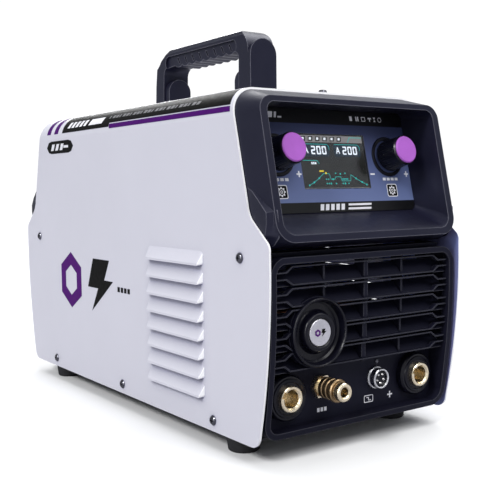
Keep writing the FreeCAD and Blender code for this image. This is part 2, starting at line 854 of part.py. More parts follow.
def make_display_hood():
    """The hood with its sloping recess walls, the display window and the knob holes."""
    body = hood_block("hood", -1, D["rim_half"], D["face_y"], 17.0)
    rim = D["rim_width"]
    tilt = D["overlay_tilt"]
    mouth = leaning_sketch(body, "hood_mouth", -1, D["face_y"], D["face_z"], D["face_tilt"])
    low = D["rim_low"] + rim - 0.4
    high = D["rim_top"] - rim + 1.4
    outline(mouth, cross_section(D["rim_half"] - rim - 0.5, low, high, 10.0, 7.0, D["face_tilt"]))
    floor = panel_sketch(body, "hood_floor", 0.0)
    outline(floor, cross_section(D["overlay_half"], D["overlay_low"], D["overlay_high"], 5.0, 4.0, tilt))
    loft(body, "hood_recess", [mouth, floor], cut=True)
    back = panel_sketch(body, "hood_behind", -3.0)
    outline(back, cross_section(D["overlay_half"] + 6.0, 172.0, 258.0, 6.0, 12.0, tilt))
    pocket(body, "hood_bay", back, 40.0)
    window = panel_sketch(body, "hood_window", 2.0)
    low = up_panel(D["lcd_low"]) - 0.6
    high = up_panel(D["lcd_high"]) + 0.7
    half = D["lcd_half"]
    outline(window, [(-half, low), (half, low), (half, high), (-half, high)])
    for x in (-D["knob_x"], D["knob_x"]):
        circle(window, x, up_panel(D["knob_rise"]), 5.0)
    pocket(body, "hood_openings", window, 10.0)
    screw = new_sketch(body, "hood_screw_sketch", "XY_Plane", D["cover_top"])
    circle(screw, 0.0, -D["top_screw_y"], D["screw_shank"] / 2 + 0.1)
    pocket(body, "hood_screw_hole", screw, 9.0)
    return node(body, "display_hood")


# --------------------------------------------------------------------------------------------------
# Carrying handle
# --------------------------------------------------------------------------------------------------

FINGERS = 8
FINGER_PITCH = 12.5


def handle_outline():
    """Side view of the handle as (y, z): two upright posts and a grip with a scalloped underside."""
    base = D["cover_top"]
    front = D["handle_front"]
    rear = D["handle_rear"]
    top = D["handle_top"]
    under = D["grip_under"]
    points = [(-front, base), (-front + 16.0, base), (-front + 15.2, under - 8.5, -6.0),
              (-front + 20.0, under - 1.2)]
    start = -front + 25.0
    for finger in range(FINGERS):
        points.append((start + FINGER_PITCH * finger, under, 10.0))
    points += [(start + FINGER_PITCH * FINGERS, under), (rear - 22.0, under - 1.0, -8.0),
               (rear - 17.2, under - 9.0), (rear - 15.8, base), (rear, base)]
    points += [(rear - 1.6, 296.0), (rear - 4.0, 313.0, -26.0), (rear - 12.0, 320.0)]
    points += [(rear - 26.0, top - 2.4, 9.0), (rear - 33.0, top)]
    points += [(-front + 21.0, top, 19.0), (-front + 1.2, 312.0), (-front, 300.0)]
    return points


def arch(half, low, high):
    """An upright plate with a half-round top, seen from the front."""
    shoulder = high - half
    return [(-half, low), (half, low), (half, shoulder, half), (0.0, high, half), (-half, shoulder)]


def soften_grip_top(body, half):
    """Cuts the two long top corners of the grip back to two flats each."""
    top = D["handle_top"]
    soft = D["grip_rounding"]
    corners = new_sketch(body, "handle_corners", "XZ_Plane", -D["handle_rear"] - 5.0)
    for hand in (-1, 1):
        edge = hand * (half + 1.0)
        outline(corners, [(hand * (half - soft), top + 1.0), (edge, top + 1.0), (edge, top - soft),
                          (hand * half, top - soft), (hand * (half - soft * 0.3), top - soft * 0.3),
                          (hand * (half - soft), top)])
    pocket(body, "handle_soft_corners", corners, 200.0, back=True)


def make_handle():
    """A grip with finger waves on two bosses with screw wells, and a round-topped front plate."""
    body = new_body("handle")
    side = outline(new_sketch(body, "handle_side", "YZ_Plane"), handle_outline())
    half = D["handle_half"]
    pad(body, "handle_bar", side, half * 2, both=True)
    soften_grip_top(body, half)
    base = D["cover_top"]
    for hand in (-1, 1):
        shifted = new_sketch(body, f"handle_grip_{hand + 1}", "YZ_Plane", hand * (half - 2.2))
        outline(shifted, round_box(-D["handle_front"] + 19.0, 311.0, D["handle_rear"] - 21.0,
                                   D["grip_under"] + 9.4, 5.0))
        pocket(body, f"handle_waist_{hand + 1}", shifted, 10.0, back=hand > 0)
        nicks = new_sketch(body, f"handle_nicks_{hand + 1}", "YZ_Plane", hand * (half - 2.2))
        for finger in range(FINGERS):
            y = -D["handle_front"] + 28.0 + FINGER_PITCH * finger
            outline(nicks, [(y, 314.6), (y + 2.0, 314.6), (y + 5.6, 320.4), (y + 3.6, 320.4)])
        pocket(body, f"handle_nick_cuts_{hand + 1}", nicks, 1.6, back=hand < 0)
    plate = outline(
        new_sketch(body, "handle_plate_face", "XZ_Plane", D["handle_front"] - 1.0),
        arch(half, base, 322.0),
    )
    pad(body, "handle_plate", plate, 3.2)
    front_boss = outline(
        new_sketch(body, "handle_front_boss_face", "XZ_Plane", D["handle_front"] - 15.5),
        arch(half - 1.6, base, 299.5),
    )
    pad(body, "handle_front_boss", front_boss, 8.5, back=True)
    rear_boss = outline(
        new_sketch(body, "handle_rear_boss_face", "XZ_Plane", -(D["handle_rear"] - 16.4)),
        arch(half - 1.6, base, 302.0),
    )
    pad(body, "handle_rear_boss", rear_boss, 8.0)
    wells = new_sketch(body, "handle_wells", "XY_Plane", base)
    for y in handle_screw_places():
        circle(wells, 0.0, y, 2.6)
    pocket(body, "handle_screw_wells", wells, 22.0, back=True)
    return node(body, "handle")


# --------------------------------------------------------------------------------------------------
# Control panel: overlay, display, knobs and their encoders, circuit board
# --------------------------------------------------------------------------------------------------


def on_overlay(thing, x, height, out=0.0):
    """Puts a part on the tilted control panel, its own Z axis pointing out of the panel."""
    tilt = math.radians(SIZES["overlay_tilt"])
    y = -SIZES["overlay_y"] + (float(height) - SIZES["overlay_z"]) * math.tan(tilt) - out * math.cos(tilt)
    z = float(height) + out * math.sin(tilt)
    return place(thing, x, y, z, FRONT, 90 - SIZES["overlay_tilt"])


def panel_plate(label, wires, front, back, holes=()):
    """A flat plate parallel to the control panel, between two distances in front of it."""
    body = new_body(label)
    sketch = panel_sketch(body, f"{label}_sketch", slope(front, D["overlay_tilt"]))
    for wire in wires:
        outline(sketch, wire)
    for x, z, radius in holes:
        circle(sketch, x, up_panel(z), radius)
    pad(body, f"{label}_pad", sketch, front - back, back=True)
    return body


def panel_rectangle(x0, low, x1, high, corner):
    return round_box(x0, up_panel(low), x1, up_panel(high), corner)


def make_overlay_and_display():
    half = D["overlay_half"] - 0.3
    low = D["overlay_low"] + 0.3
    high = D["overlay_high"] - 0.3
    glass = D["lcd_half"]
    knob_holes = [(x, D["knob_rise"], 4.2) for x in (-D["knob_x"], D["knob_x"])]
    overlay = panel_plate(
        "control_overlay",
        [panel_rectangle(-half, low, half, high, D["overlay_corner"]),
         panel_rectangle(-glass, D["lcd_low"], glass, D["lcd_high"], 0.6)],
        0.8, 0.0, knob_holes,
    )
    node(overlay, "control_overlay")
    window = panel_plate(
        "lcd_window",
        [panel_rectangle(-glass + 0.1, D["lcd_low"] + 0.1, glass - 0.1, D["lcd_high"] - 0.1, 0.5)],
        0.7, -0.9,
    )
    node(window, "lcd_window")
    module = panel_plate(
        "lcd_module",
        [panel_rectangle(-glass + 0.6, D["lcd_low"] + 0.6, glass - 0.6, D["lcd_high"] - 0.6, 0.5)],
        -1.2, -6.5,
    )
    node(module, "lcd_module")
    board = panel_plate(
        "control_board", [panel_rectangle(-74.0, 180.0, 74.0, 250.0, 2.0)], -11.0, -12.6,
        [(x, z, 1.7) for x in (-70.0, 70.0) for z in (184.0, 246.0)],
    )
    node(board, "control_board")


def make_knob(hand, name):
    """One push-to-select encoder with its dial ring, knob and coloured cap."""
    x = hand * D["knob_x"]
    height = D["knob_rise"]
    radius = D["knob_size"] / 2
    length = D["knob_length"]
    bore = D["shaft_size"] / 2
    dial = turned(f"{name}_dial_ring", [
        (radius + 0.9, 0.8), (D["dial_size"] / 2, 0.8), (D["dial_size"] / 2, 1.5),
        (D["dial_size"] / 2 - 0.6, 2.1), (radius + 1.3, 2.1), (radius + 0.9, 1.7),
    ])
    node(on_overlay(dial, x, height), f"{name}_dial_ring")
    knob = turned(f"{name}_knob", [
        (5.0, 3.0), (radius - 0.3, 3.0), (radius, 3.6), (radius - 0.7, 2.4 + length - 1.2),
        (radius - 1.5, 2.4 + length), (D["cap_size"] / 2 + 0.05, 2.4 + length),
        (D["cap_size"] / 2 + 0.05, 1.0 + length), (bore, 1.0 + length), (bore, 8.0), (5.0, 8.0),
    ])
    flute = new_sketch(knob, f"{name}_flute_sketch", "XY_Plane", 6.0)
    circle(flute, radius + 0.35, 0.0, 1.0)
    first = pocket(knob, f"{name}_flute", flute, length, back=True)
    ring = knob.newObject("PartDesign::PolarPattern", f"{name}_flutes")
    ring.Originals = [first]
    ring.Axis = (origin_part(knob, "Z_Axis"), [""])
    ring.Angle = 360.0
    ring.Occurrences = 24
    knob.Tip = ring
    node(on_overlay(knob, x, height), f"{name}_knob")
    cap_radius = D["cap_size"] / 2
    cap = turned(f"{name}_knob_cap", [
        (0.0, 1.0 + length), (cap_radius, 1.0 + length), (cap_radius, 3.0 + length),
        (cap_radius - 0.8, 3.8 + length), (0.0, 3.8 + length),
    ])
    node(on_overlay(cap, x, height), f"{name}_knob_cap")
    shaft = turned(f"{name}_encoder_shaft", [
        (0.0, -5.9), (bore - 0.05, -5.9), (bore - 0.05, 8.0), (bore, 8.0), (bore, 0.95 + length),
        (0.0, 0.95 + length),
    ])
    node(on_overlay(shaft, x, height), f"{name}_encoder_shaft")
    plunger = turned(f"{name}_encoder_plunger", [
        (0.0, -8.8), (1.6, -8.8), (1.6, -7.6), (3.9, -7.6), (3.9, -6.2), (0.0, -6.2),
    ])
    node(on_overlay(plunger, x, height), f"{name}_encoder_plunger")
    case = new_body(f"{name}_encoder")
    square = outline(new_sketch(case, f"{name}_encoder_square", "XY_Plane", -10.9),
                     round_box(-6.5, -6.5, 6.5, 6.5, 0.8))
    pad(case, f"{name}_encoder_block", square, 6.9)
    bush = circle(new_sketch(case, f"{name}_encoder_bush", "XY_Plane", -4.1), 0.0, 0.0, 3.9)
    pad(case, f"{name}_encoder_neck", bush, 7.6)
    throat = circle(new_sketch(case, f"{name}_encoder_bore_sketch", "XY_Plane", -6.0), 0.0, 0.0, bore + 0.03)
    pocket(case, f"{name}_encoder_bore", throat, 12.0, back=True)
    chamber = circle(new_sketch(case, f"{name}_encoder_chamber_sketch", "XY_Plane", -9.6), 0.0, 0.0, 4.1)
    pocket(case, f"{name}_encoder_chamber", chamber, 4.0, back=True)
    node(on_overlay(case, x, height), f"{name}_encoder")


# --------------------------------------------------------------------------------------------------
# Front connectors and badge
# --------------------------------------------------------------------------------------------------


def in_front(thing, x, height, y=None):
    """Puts a turned part on the connector pocket's floor, its own Z axis pointing at the front."""
    floor = -D["pocket_face"] if y is None else y
    return place(thing, x, floor, height, FRONT, 90)


def make_socket(hand, name):
    """Welding power socket: insulating collar, brass insert with a keyed bore, and its fixing nut."""
    x = hand * D["socket_x"]
    height = D["socket_height"]
    outer = D["socket_collar"] / 2
    brass = D["socket_brass"] / 2
    nose = D["socket_face"] - D["pocket_face"]
    collar = turned(f"{name}_socket_collar", [
        (brass + 0.03, -17.0), (13.5, -17.0), (13.5, 0.0), (outer, 0.0), (outer, 5.2), (outer - 1.2, 6.6),
        (outer - 2.6, 6.6), (outer - 3.0, 7.4), (brass + 2.6, 8.0), (brass + 1.9, 7.4), (brass + 0.03, 7.4),
    ])
    node(in_front(collar, x, height), f"{name}_socket_collar")
    bore = D["socket_bore"] / 2
    insert = turned(f"{name}_socket_insert", [
        (0.0, -36.0), (4.9, -36.0), (4.9, -24.0), (brass, -24.0), (brass, nose - 0.6), (brass - 0.6, nose),
        (bore + 1.0, nose), (bore, nose - 1.2), (bore, -15.0), (0.0, -17.5),
    ])
    keyway = ((-2.4, 0.0), (2.4, 0.0), (2.4, 9.0), (-2.4, 9.0))
    corners = [turned_point(across, reach, SIZES["key_angle"]) for across, reach in keyway]
    key = outline(new_sketch(insert, f"{name}_socket_key_sketch", "XY_Plane", nose), corners)
    pocket(insert, f"{name}_socket_key", key, 9.0)
    node(in_front(insert, x, height), f"{name}_socket_insert")
    nut = ring_nut(f"{name}_socket_nut", 17.0, 13.53, 5.0)
    return in_front(nut, x, height, -D["pocket_face"] + D["panel_wall"] + 5.0)


def hexagon(radius):
    points = []
    for corner in range(6):
        angle = math.radians(60 * corner)
        points.append((radius * math.cos(angle), radius * math.sin(angle)))
    return points


def ring_nut(label, radius, bore, thickness):
    body = new_body(label)
    sketch = outline(new_sketch(body, f"{label}_sketch", "XY_Plane"), hexagon(radius))
    circle(sketch, 0.0, 0.0, bore)
    pad(body, f"{label}_pad", sketch, thickness)
    return body


def make_gas_coupler():
    """Quick gas coupler: a body screwed through the panel and a spring-back locking sleeve round it."""
    x = D["gas_x"]
    height = D["gas_height"]
    body = turned("gas_coupler_body", [
        (2.0, -26.0), (3.4, -26.0), (4.2, -22.0), (3.4, -22.0), (4.2, -18.0), (5.0, -18.0), (5.0, 0.0),
        (6.1, 3.9), (6.1, 22.9), (6.9, 22.9), (6.9, 27.6), (6.2, 28.5), (4.5, 28.5), (3.7, 27.7), (3.7, 10.0),
        (2.0, 8.6),
    ])
    hexa = outline(new_sketch(body, "gas_coupler_hex_sketch", "XY_Plane"), hexagon(9.2))
    circle(hexa, 0.0, 0.0, 2.6)
    pad(body, "gas_coupler_hex", hexa, 4.0)
    node(in_front(body, x, height), "gas_coupler_body")
    sleeve = turned("gas_coupler_sleeve", [
        (6.15, 7.0), (7.6, 7.0), (8.0, 7.4), (8.0, 10.6), (7.5, 11.1), (7.5, 11.9), (8.0, 12.4),
        (8.0, 15.4), (7.5, 15.9), (7.5, 16.7), (8.0, 17.2), (8.0, 18.4), (8.6, 19.0), (8.6, 21.4),
        (8.0, 22.2), (6.15, 22.2),
    ])
    node(in_front(sleeve, x, height), "gas_coupler_sleeve")
    nut = ring_nut("gas_coupler_nut", 8.5, 5.03, 4.0)
    return in_front(nut, x, height, -D["pocket_face"] + D["panel_wall"] + 4.0)


def make_torch_connector():
    """Round five-pin socket for the torch switch: plated shell, insulator and pins."""
    x = D["torch_x"]
    height = D["torch_height"]
    shell = turned("torch_connector_shell", [
        (6.3, -11.0), (7.4, -11.0), (7.4, 0.0), (8.9, 0.0), (8.9, 1.4), (8.5, 1.8), (8.0, 1.8), (8.0, 7.2),
        (7.5, 7.7), (6.7, 7.7), (6.3, 7.2),
    ])
    node(in_front(shell, x, height), "torch_connector_shell")
    core = turned("torch_connector_core", [(0.0, -10.0), (6.27, -10.0), (6.27, 5.2), (5.9, 5.6), (0.0, 5.6)])
    spots = new_sketch(core, "torch_connector_spots", "XY_Plane", -10.0)
    for pin_x, pin_y in pin_places():
        circle(spots, pin_x, pin_y, 1.03)
    pocket(core, "torch_connector_holes", spots, 20.0, back=True)
    node(in_front(core, x, height), "torch_connector_core")
    pins = []
    for number, (pin_x, pin_y) in enumerate(pin_places()):
        pin = turned(f"torch_pin_{number}", [(0.0, -14.0), (1.0, -14.0), (1.0, 6.0), (0.5, 6.8), (0.0, 6.8)])
        pins.append(place(pin, x + pin_x, -D["pocket_face"], height + pin_y, FRONT, 90))
    node(group("torch_connector_pins", pins), "torch_connector_pins")
    nut = ring_nut("torch_connector_nut", 11.0, 7.43, 3.0)
    return in_front(nut, x, height, -D["pocket_face"] + D["panel_wall"] + 3.0)


def pin_places():
    """Five pins on a circle, as (x, y)."""
    angles = [math.radians(54 + 72 * number) for number in range(5)]
    return [(3.6 * math.cos(angle), 3.6 * math.sin(angle)) for angle in angles]


def make_badge():
    """A dished round bezel with a raised inner ring, and the plain disc in its middle."""
    seat = -D["badge_seat"]
    outer = D["badge_size"] / 2
    bezel = turned("badge_bezel", [
        (0.0, 0.0), (outer, 0.0), (outer, 7.0), (outer - 0.6, 7.7), (outer - 1.3, 7.7), (outer - 2.0, 6.9),
        (22.0, 1.9), (20.6, 0.8), (16.4, 0.8), (15.2, 1.9), (14.2, 5.9), (13.6, 6.9), (12.6, 7.3),
        (11.4, 7.1), (10.3, 6.2), (10.3, 5.0), (0.0, 5.0),
    ])
    node(in_front(bezel, D["badge_x"], D["badge_height"], seat), "badge_bezel")
    disc = turned("badge_disc", [(0.0, 5.0), (9.8, 5.0), (9.8, 6.4), (9.4, 6.8), (0.0, 7.0)])
    node(in_front(disc, D["badge_x"], D["badge_height"], seat), "badge_disc")


def make_front_fixings():
    """All front connectors with their nuts, and the small front screw."""
    nuts = [make_socket(-1, "left"), make_socket(1, "right"), make_gas_coupler(), make_torch_connector()]
    node(group("panel_nuts", nuts), "panel_nuts")
    screw = turned("front_screw", [
        (0.0, -8.0), (1.45, -8.0), (1.45, 0.0), (1.9, 0.0), (1.7, 0.8), (0.9, 1.1), (0.0, 1.1),
    ])
    node(in_front(screw, D["torch_x"] + 1.6, 59.4), "front_screw")


# --------------------------------------------------------------------------------------------------
# Base pan, feet and fasteners
# --------------------------------------------------------------------------------------------------


def make_base_pan():
    """The channel-shaped floor that the feet, the heatsinks and the cover's lower screws fix to."""
    half = D["cover_width"] / 2 - D["sheet"] - 0.3
    low = D["pan_height"]
    sheet_thick = D["sheet"]
    body = new_body("base_pan")
    high = low + D["pan_flange"]
    inner = half - sheet_thick
    floor = low + sheet_thick
    profile = outline(
        new_sketch(body, "pan_profile", "XZ_Plane"),
        [(-half, low), (half, low), (half, high), (inner, high), (inner, floor), (-inner, floor),
         (-inner, high), (-half, high)],
    )
    pad(body, "pan_channel", profile, D["pan_half_length"] * 2, both=True)
    side_holes = new_sketch(body, "pan_side_holes", "YZ_Plane")
    for y, z in side_screw_places()[2:]:
        circle(side_holes, y, z, D["screw_shank"] / 2 + 0.1)
    pocket(body, "pan_side_drill", side_holes, both=True)
    foot_holes = new_sketch(body, "pan_foot_holes", "XY_Plane")
    for x, y in foot_places():
        circle(foot_holes, x, y, 2.6)
    pocket(body, "pan_foot_drill", foot_holes, both=True)
    return node(body, "base_pan")


def foot_places():
    return [(sx * D["foot_x"], sy * D["foot_y"]) for sx in (-1, 1) for sy in (-1, 1)]


def make_feet():
    """Four tapered rubber feet, each held by a screw in a recess."""
    top = D["foot_top"] / 2
    bottom = D["foot_bottom"] / 2
    tall = D["foot_height"]
    feet = []
    screws = []
    for number, (x, y) in enumerate(foot_places()):
        foot = turned(f"foot_{number}", [
            (5.2, 0.0), (bottom - 1.0, 0.0), (bottom, 1.2), (top, tall), (2.6, tall), (2.6, 7.0), (5.2, 7.0),
        ], x, y, 0.0)
        feet.append(foot)
        screw = turned(f"foot_screw_{number}", [
            (0.0, 4.2), (4.6, 4.2), (4.6, 7.0), (2.5, 7.0), (2.5, tall + 6.0), (0.0, tall + 6.0),
        ], x, y, 0.0)
        screws.append(screw)
    node(group("feet", feet), "feet")
    node(group("foot_screws", screws), "foot_screws")


def make_screw(label, x, y, z, axis, angle, shank_length, rise=None):
    """A domed machine screw with a cross recess; its own Z axis leaves the head."""
    head = D["screw_head"] / 2
    rise = rise or D["screw_head_rise"]
    shank = D["screw_shank"] / 2
    body = turned(label, [
        (0.0, -shank_length), (shank, -shank_length), (shank, 0.0), (head, 0.0), (head, 0.6),
        (head - 1.0, rise - 0.3), (head - 2.4, rise), (0.0, rise),
    ], x, y, z, axis, angle)
    cross = outline(new_sketch(body, f"{label}_cross", "XY_Plane", rise), cross_points(2.0, 0.45))
    pocket(body, f"{label}_recess", cross, 1.2)
    return body


def cross_points(reach, half):
    quarter = [(reach, -half), (reach, half), (half, half)]
    points = []
    for turn in range(4):
        angle = 90 * turn
        points += [turned_point(x, y, angle) for x, y in quarter]
    return points


def turned_point(x, y, degrees):
    """A point turned about the origin."""
    angle = math.radians(degrees)
    return (x * math.cos(angle) - y * math.sin(angle), x * math.sin(angle) + y * math.cos(angle))


def make_screws():
    half = D["cover_width"] / 2
    screws = []
    for number, (y, z) in enumerate(side_screw_places()):
        for hand in (-1, 1):
            name = f"side_screw_{number}_{hand + 1}"
            length = 8.0 if number < 2 else 6.0
            screws.append(make_screw(name, hand * half, y, z, (0, 1, 0), 90 * hand, length))
    for number, (sx, sz) in enumerate(FAN_CORNERS):
        x = sx * D["fan_screw_half"]
        z = D["fan_height"] + sz * D["fan_screw_half"]
        name = f"guard_screw_{number}"
        screws.append(make_screw(name, x, D["guard_y"] + 1.2, z, FRONT, -90, 36.0))
    screws.append(make_screw("top_screw", 0.0, -D["top_screw_y"], D["cover_top"], (0, 0, 1), 0, 6.0, 3.2))
    node(group("case_screws", screws), "case_screws")
    under = D["cover_top"] - D["sheet"]
    handle_screws = []
    for number, y in enumerate(handle_screw_places()):
        handle_screws.append(turned(f"handle_screw_{number}", [
            (0.0, -3.5), (4.5, -3.5), (4.5, 0.0), (2.5, 0.0), (2.5, 20.0), (0.0, 20.0),
        ], 0.0, y, under))
    node(group("handle_screws", handle_screws), "handle_screws")


def handle_screw_places():
    return [-D["handle_front"] + 12.0, D["handle_rear"] - 12.0]


# --------------------------------------------------------------------------------------------------
# Rear moulding, fan, switch, mains lead and gas inlet
# --------------------------------------------------------------------------------------------------


def on_rear(thing, x, height, out=0.0, roll=0.0):
    """Puts a part on the leaning rear face, its own Z axis pointing out of the back and its Y axis down."""
    tilt = math.radians(SIZES["face_tilt"])
    y = SIZES["rear_face_y"] + (SIZES["face_z"] - float(height)) * math.tan(tilt) + out * math.cos(tilt)
    z = float(height) + out * math.sin(tilt)
    return place(thing, x, y, z, FRONT, -(90 - SIZES["face_tilt"]) + roll)


def behind(thing, x, height, y):
    """Puts a turned part square on the rear, its own Z axis pointing backwards."""
    return place(thing, x, y, height, FRONT, -90)


def make_rear_panel():
    """Rear moulding: the lower fan panel and the upper hood that carries the switch and the mains lead."""
    depth = D["grille_depth"]
    body = panel_shell("rear_shell", 1)
    cut_recess(body, "rear", 1, depth)
    round_recess(body, "rear")
    inner = D["panel_half_width"] - D["panel_rim"] + 2.0
    low = D["panel_low"] + D["panel_rim"] - 2.0
    high = D["panel_high"] - D["panel_rim"] + 2.0
    wall = depth + D["panel_wall"]
    back = D["panel_back"] - 5.0
    hollow = outline(
        new_sketch(body, "rear_hollow_profile", "YZ_Plane"),
        [(back, low), (bow(low, wall), low), (bow(high, wall), high), (back, high)],
    )
    pocket(body, "rear_hollow", hollow, inner * 2, both=True)
    holes = new_sketch(body, "rear_openings_sketch", "XZ_Plane")
    circle(holes, 0.0, D["fan_height"], D["fan_bore"] / 2 - 1.0)
    circle(holes, D["inlet_x"], D["gas_height"], 5.2)
    for sx, sz in FAN_CORNERS:
        circle(holes, sx * D["fan_screw_half"], D["fan_height"] + sz * D["fan_screw_half"], 2.2)
    pocket(body, "rear_openings", holes, both=True)
    upper = hood_block("rear_hood", 1, D["rear_rim_half"], D["rear_face_y"], 14.0)
    inside = leaning_sketch(upper, "rear_inside", 1, D["rear_face_y"] - 2.6, D["face_z"], D["face_tilt"])
    half = D["rear_rim_half"] - 3.0
    outline(inside, cross_section(half, D["rim_low"] + 3.0, D["rim_top"] - 3.0, 12.0, 9.0, D["face_tilt"]))
    pocket(upper, "rear_bay", inside, 60.0, back=True)
    ports = leaning_sketch(upper, "rear_ports", 1, D["rear_face_y"] + 4.0, D["face_z"], D["face_tilt"])
    x = D["switch_x"]
    z = slope(D["switch_height"], D["face_tilt"])
    outline(ports, [(x - 14.2, z - 12.2), (x + 14.2, z - 12.2), (x + 14.2, z + 12.2), (x - 14.2, z + 12.2)])
    circle(ports, D["gland_x"], slope(D["gland_height"], D["face_tilt"]), 9.2)
    pocket(upper, "rear_port_cuts", ports, 12.0, back=True)
    web = block("rear_web", -80.0, 187.5, 145.4, 80.0, 199.0, 160.0)
    moulding = fuse("rear_moulding", [body, upper, web])
    node(with_lugs("rear", moulding, 1), "rear_panel")


FAN_CORNERS = ((-1, -1), (1, -1), (1, 1), (-1, 1))


def make_fan():
    """Axial fan: a square frame with struts and shaft, then its rotor and its guard."""
    size = D["fan_size"] / 2
    depth = D["fan_depth"]
    z = D["fan_height"]
    y = SIZES["fan_front_y"]
    outer = block("fan_case", -size, y, z - size, size, y + float(depth), z + size)
    well = rod("fan_well", D["fan_bore"] / 2, depth + 2.0, 0.0, y - 1.0, z, FRONT, -90)
    ring = cut("fan_ring", outer, well)
    parts = [ring, rod("fan_mount", D["fan_hub"] / 2 - 1.0, 4.0, 0.0, y, z, FRONT, -90),
             rod("fan_axle", 1.5, 15.0, 0.0, y + 3.5, z, FRONT, -90)]
    for number in range(4):
        strut = primitive("Box", f"fan_strut_{number}", {"Length": 44.0, "Width": 3.5, "Height": 5.0})
        angle = math.radians(45 + 90 * number)
        turn = Rotation(Vector(0, 1, 0), -math.degrees(angle))
        strut.Placement = Placement(Vector(18 * math.cos(angle), y, float(z) + 18 * math.sin(angle)), turn)
        parts.append(strut)
    frame = fuse("fan_frame_body", parts)
    corners = []
    for number, (sx, sz) in enumerate(FAN_CORNERS):
        x = sx * D["fan_screw_half"]
        corner_z = z + sz * D["fan_screw_half"]
        corners.append(rod(f"fan_corner_{number}", 2.2, depth + 2.0, x, y - 1.0, corner_z, FRONT, -90))
    node(cut("fan_frame_drilled", frame, fuse("fan_corner_holes", corners)), "fan_frame")
    make_fan_rotor(y, z)
    make_fan_guard(z)


def make_fan_rotor(y, z):
    """The hub and its seven pitched blades, in front of the frame's struts."""
    hub_radius = D["fan_hub"] / 2
    hub = turned("fan_hub_body", [
        (1.56, 1.0), (hub_radius, 1.0), (hub_radius, 17.0), (hub_radius - 1.5, 18.5), (0.0, 18.5),
        (0.0, 15.5), (1.56, 15.5),
    ])
    behind(hub, 0.0, z, y + 4.0)
    blades = []
    for number in range(7):
        blade = primitive("Box", f"fan_blade_{number}", {"Length": 34.0, "Width": 20.0, "Height": 1.6})
        pitch = Placement(Vector(18.5, 0, 0), Rotation(Vector(1, 0, 0), 36.0))
        centre = Placement(Vector(0, -10.0, -0.8), Rotation())
        spin = Placement(Vector(0, 0, 0), Rotation(Vector(0, 0, 1), 360.0 / 7 * number))
        stand = Placement(Vector(0, y + 12.5, float(z)), Rotation(Vector(1, 0, 0), -90))
        blade.Placement = stand.multiply(spin).multiply(pitch).multiply(centre)
        blades.append(blade)
    node(fuse("fan_rotor_body", [hub, *blades]), "fan_rotor")


def make_fan_guard(z):
    """Wire guard: concentric rings, and radial wires that end in screw eyes."""
    wires = []
    for number, radius in enumerate((14.0, 24.0, 34.0, 44.0, 54.0)):
        sizes = {"Radius1": radius, "Radius2": 1.0}
        wires.append(primitive("Torus", f"guard_ring_{number}", sizes, 0.0, D["guard_y"], z, FRONT, -90))
    centre = Vector(0, SIZES["guard_y"] - 1.6, float(z))
    for number in range(4):
        angle = math.radians(45 + 90 * number)
        out = Vector(math.cos(angle), 0, math.sin(angle))
        bar = primitive("Cylinder", f"guard_bar_{number}", {"Radius": 1.1, "Height": 57.8})
        bar.Placement = Placement(centre + out * 13.0, Rotation(Vector(0, 0, 1), out))
        eye = primitive("Torus", f"guard_eye_{number}", {"Radius1": 3.4, "Radius2": 1.1})
        reach = SIZES["fan_screw_half"] * math.sqrt(2)
        eye.Placement = Placement(centre + out * reach, Rotation(Vector(1, 0, 0), 90))
        wires += [bar, eye]
    node(fuse("fan_guard_body", wires), "fan_guard")


def make_switch():
    x = D["switch_x"]
    height = D["switch_height"]
    """Mains rocker switch: a snap-in housing, and the rocker on its pivot pin."""
    body = new_body("switch_housing")
    bezel = new_sketch(body, "switch_bezel_sketch", "XY_Plane")
    outline(bezel, round_box(-16.5, -13.5, 16.5, 13.5, 2.0))
    pad(body, "switch_bezel", bezel, 1.8)
    case = new_sketch(body, "switch_case_sketch", "XY_Plane")
    outline(case, round_box(-14.0, -11.0, 14.0, 11.0, 0.5))
    pad(body, "switch_case", case, 22.0, back=True)
    well = new_sketch(body, "switch_well_sketch", "XY_Plane", 1.8)
    outline(well, round_box(-11.2, -10.4, 11.2, 10.4, 0.5))
    pocket(body, "switch_well", well, 15.8)
    pivot = circle(new_sketch(body, "switch_pivot_sketch", "YZ_Plane"), 0.0, -3.0, 1.55)
    pocket(body, "switch_pivot", pivot, 25.6, both=True)
    node(on_rear(body, x, height, 0.0), "switch_housing")
    rocker = new_body("switch_rocker")
    side = outline(new_sketch(rocker, "rocker_side", "YZ_Plane"), [
        (-8.6, -3.5), (-6.0, -6.5, 9.0), (6.0, -6.5), (8.6, -3.5), (9.6, 4.2), (9.0, 5.4), (0.0, 3.2),
        (-9.0, 5.4), (-9.6, 4.2),
    ])
    pad(rocker, "rocker_bar", side, 21.6, both=True)
    pin = circle(new_sketch(rocker, "rocker_pin_sketch", "YZ_Plane"), 0.0, 0.0, 1.5)
    pad(rocker, "rocker_pin", pin, 25.2, both=True)
    node(on_rear(rocker, x, height, -3.0, SIZES["rocker_rest"]), "switch_rocker")


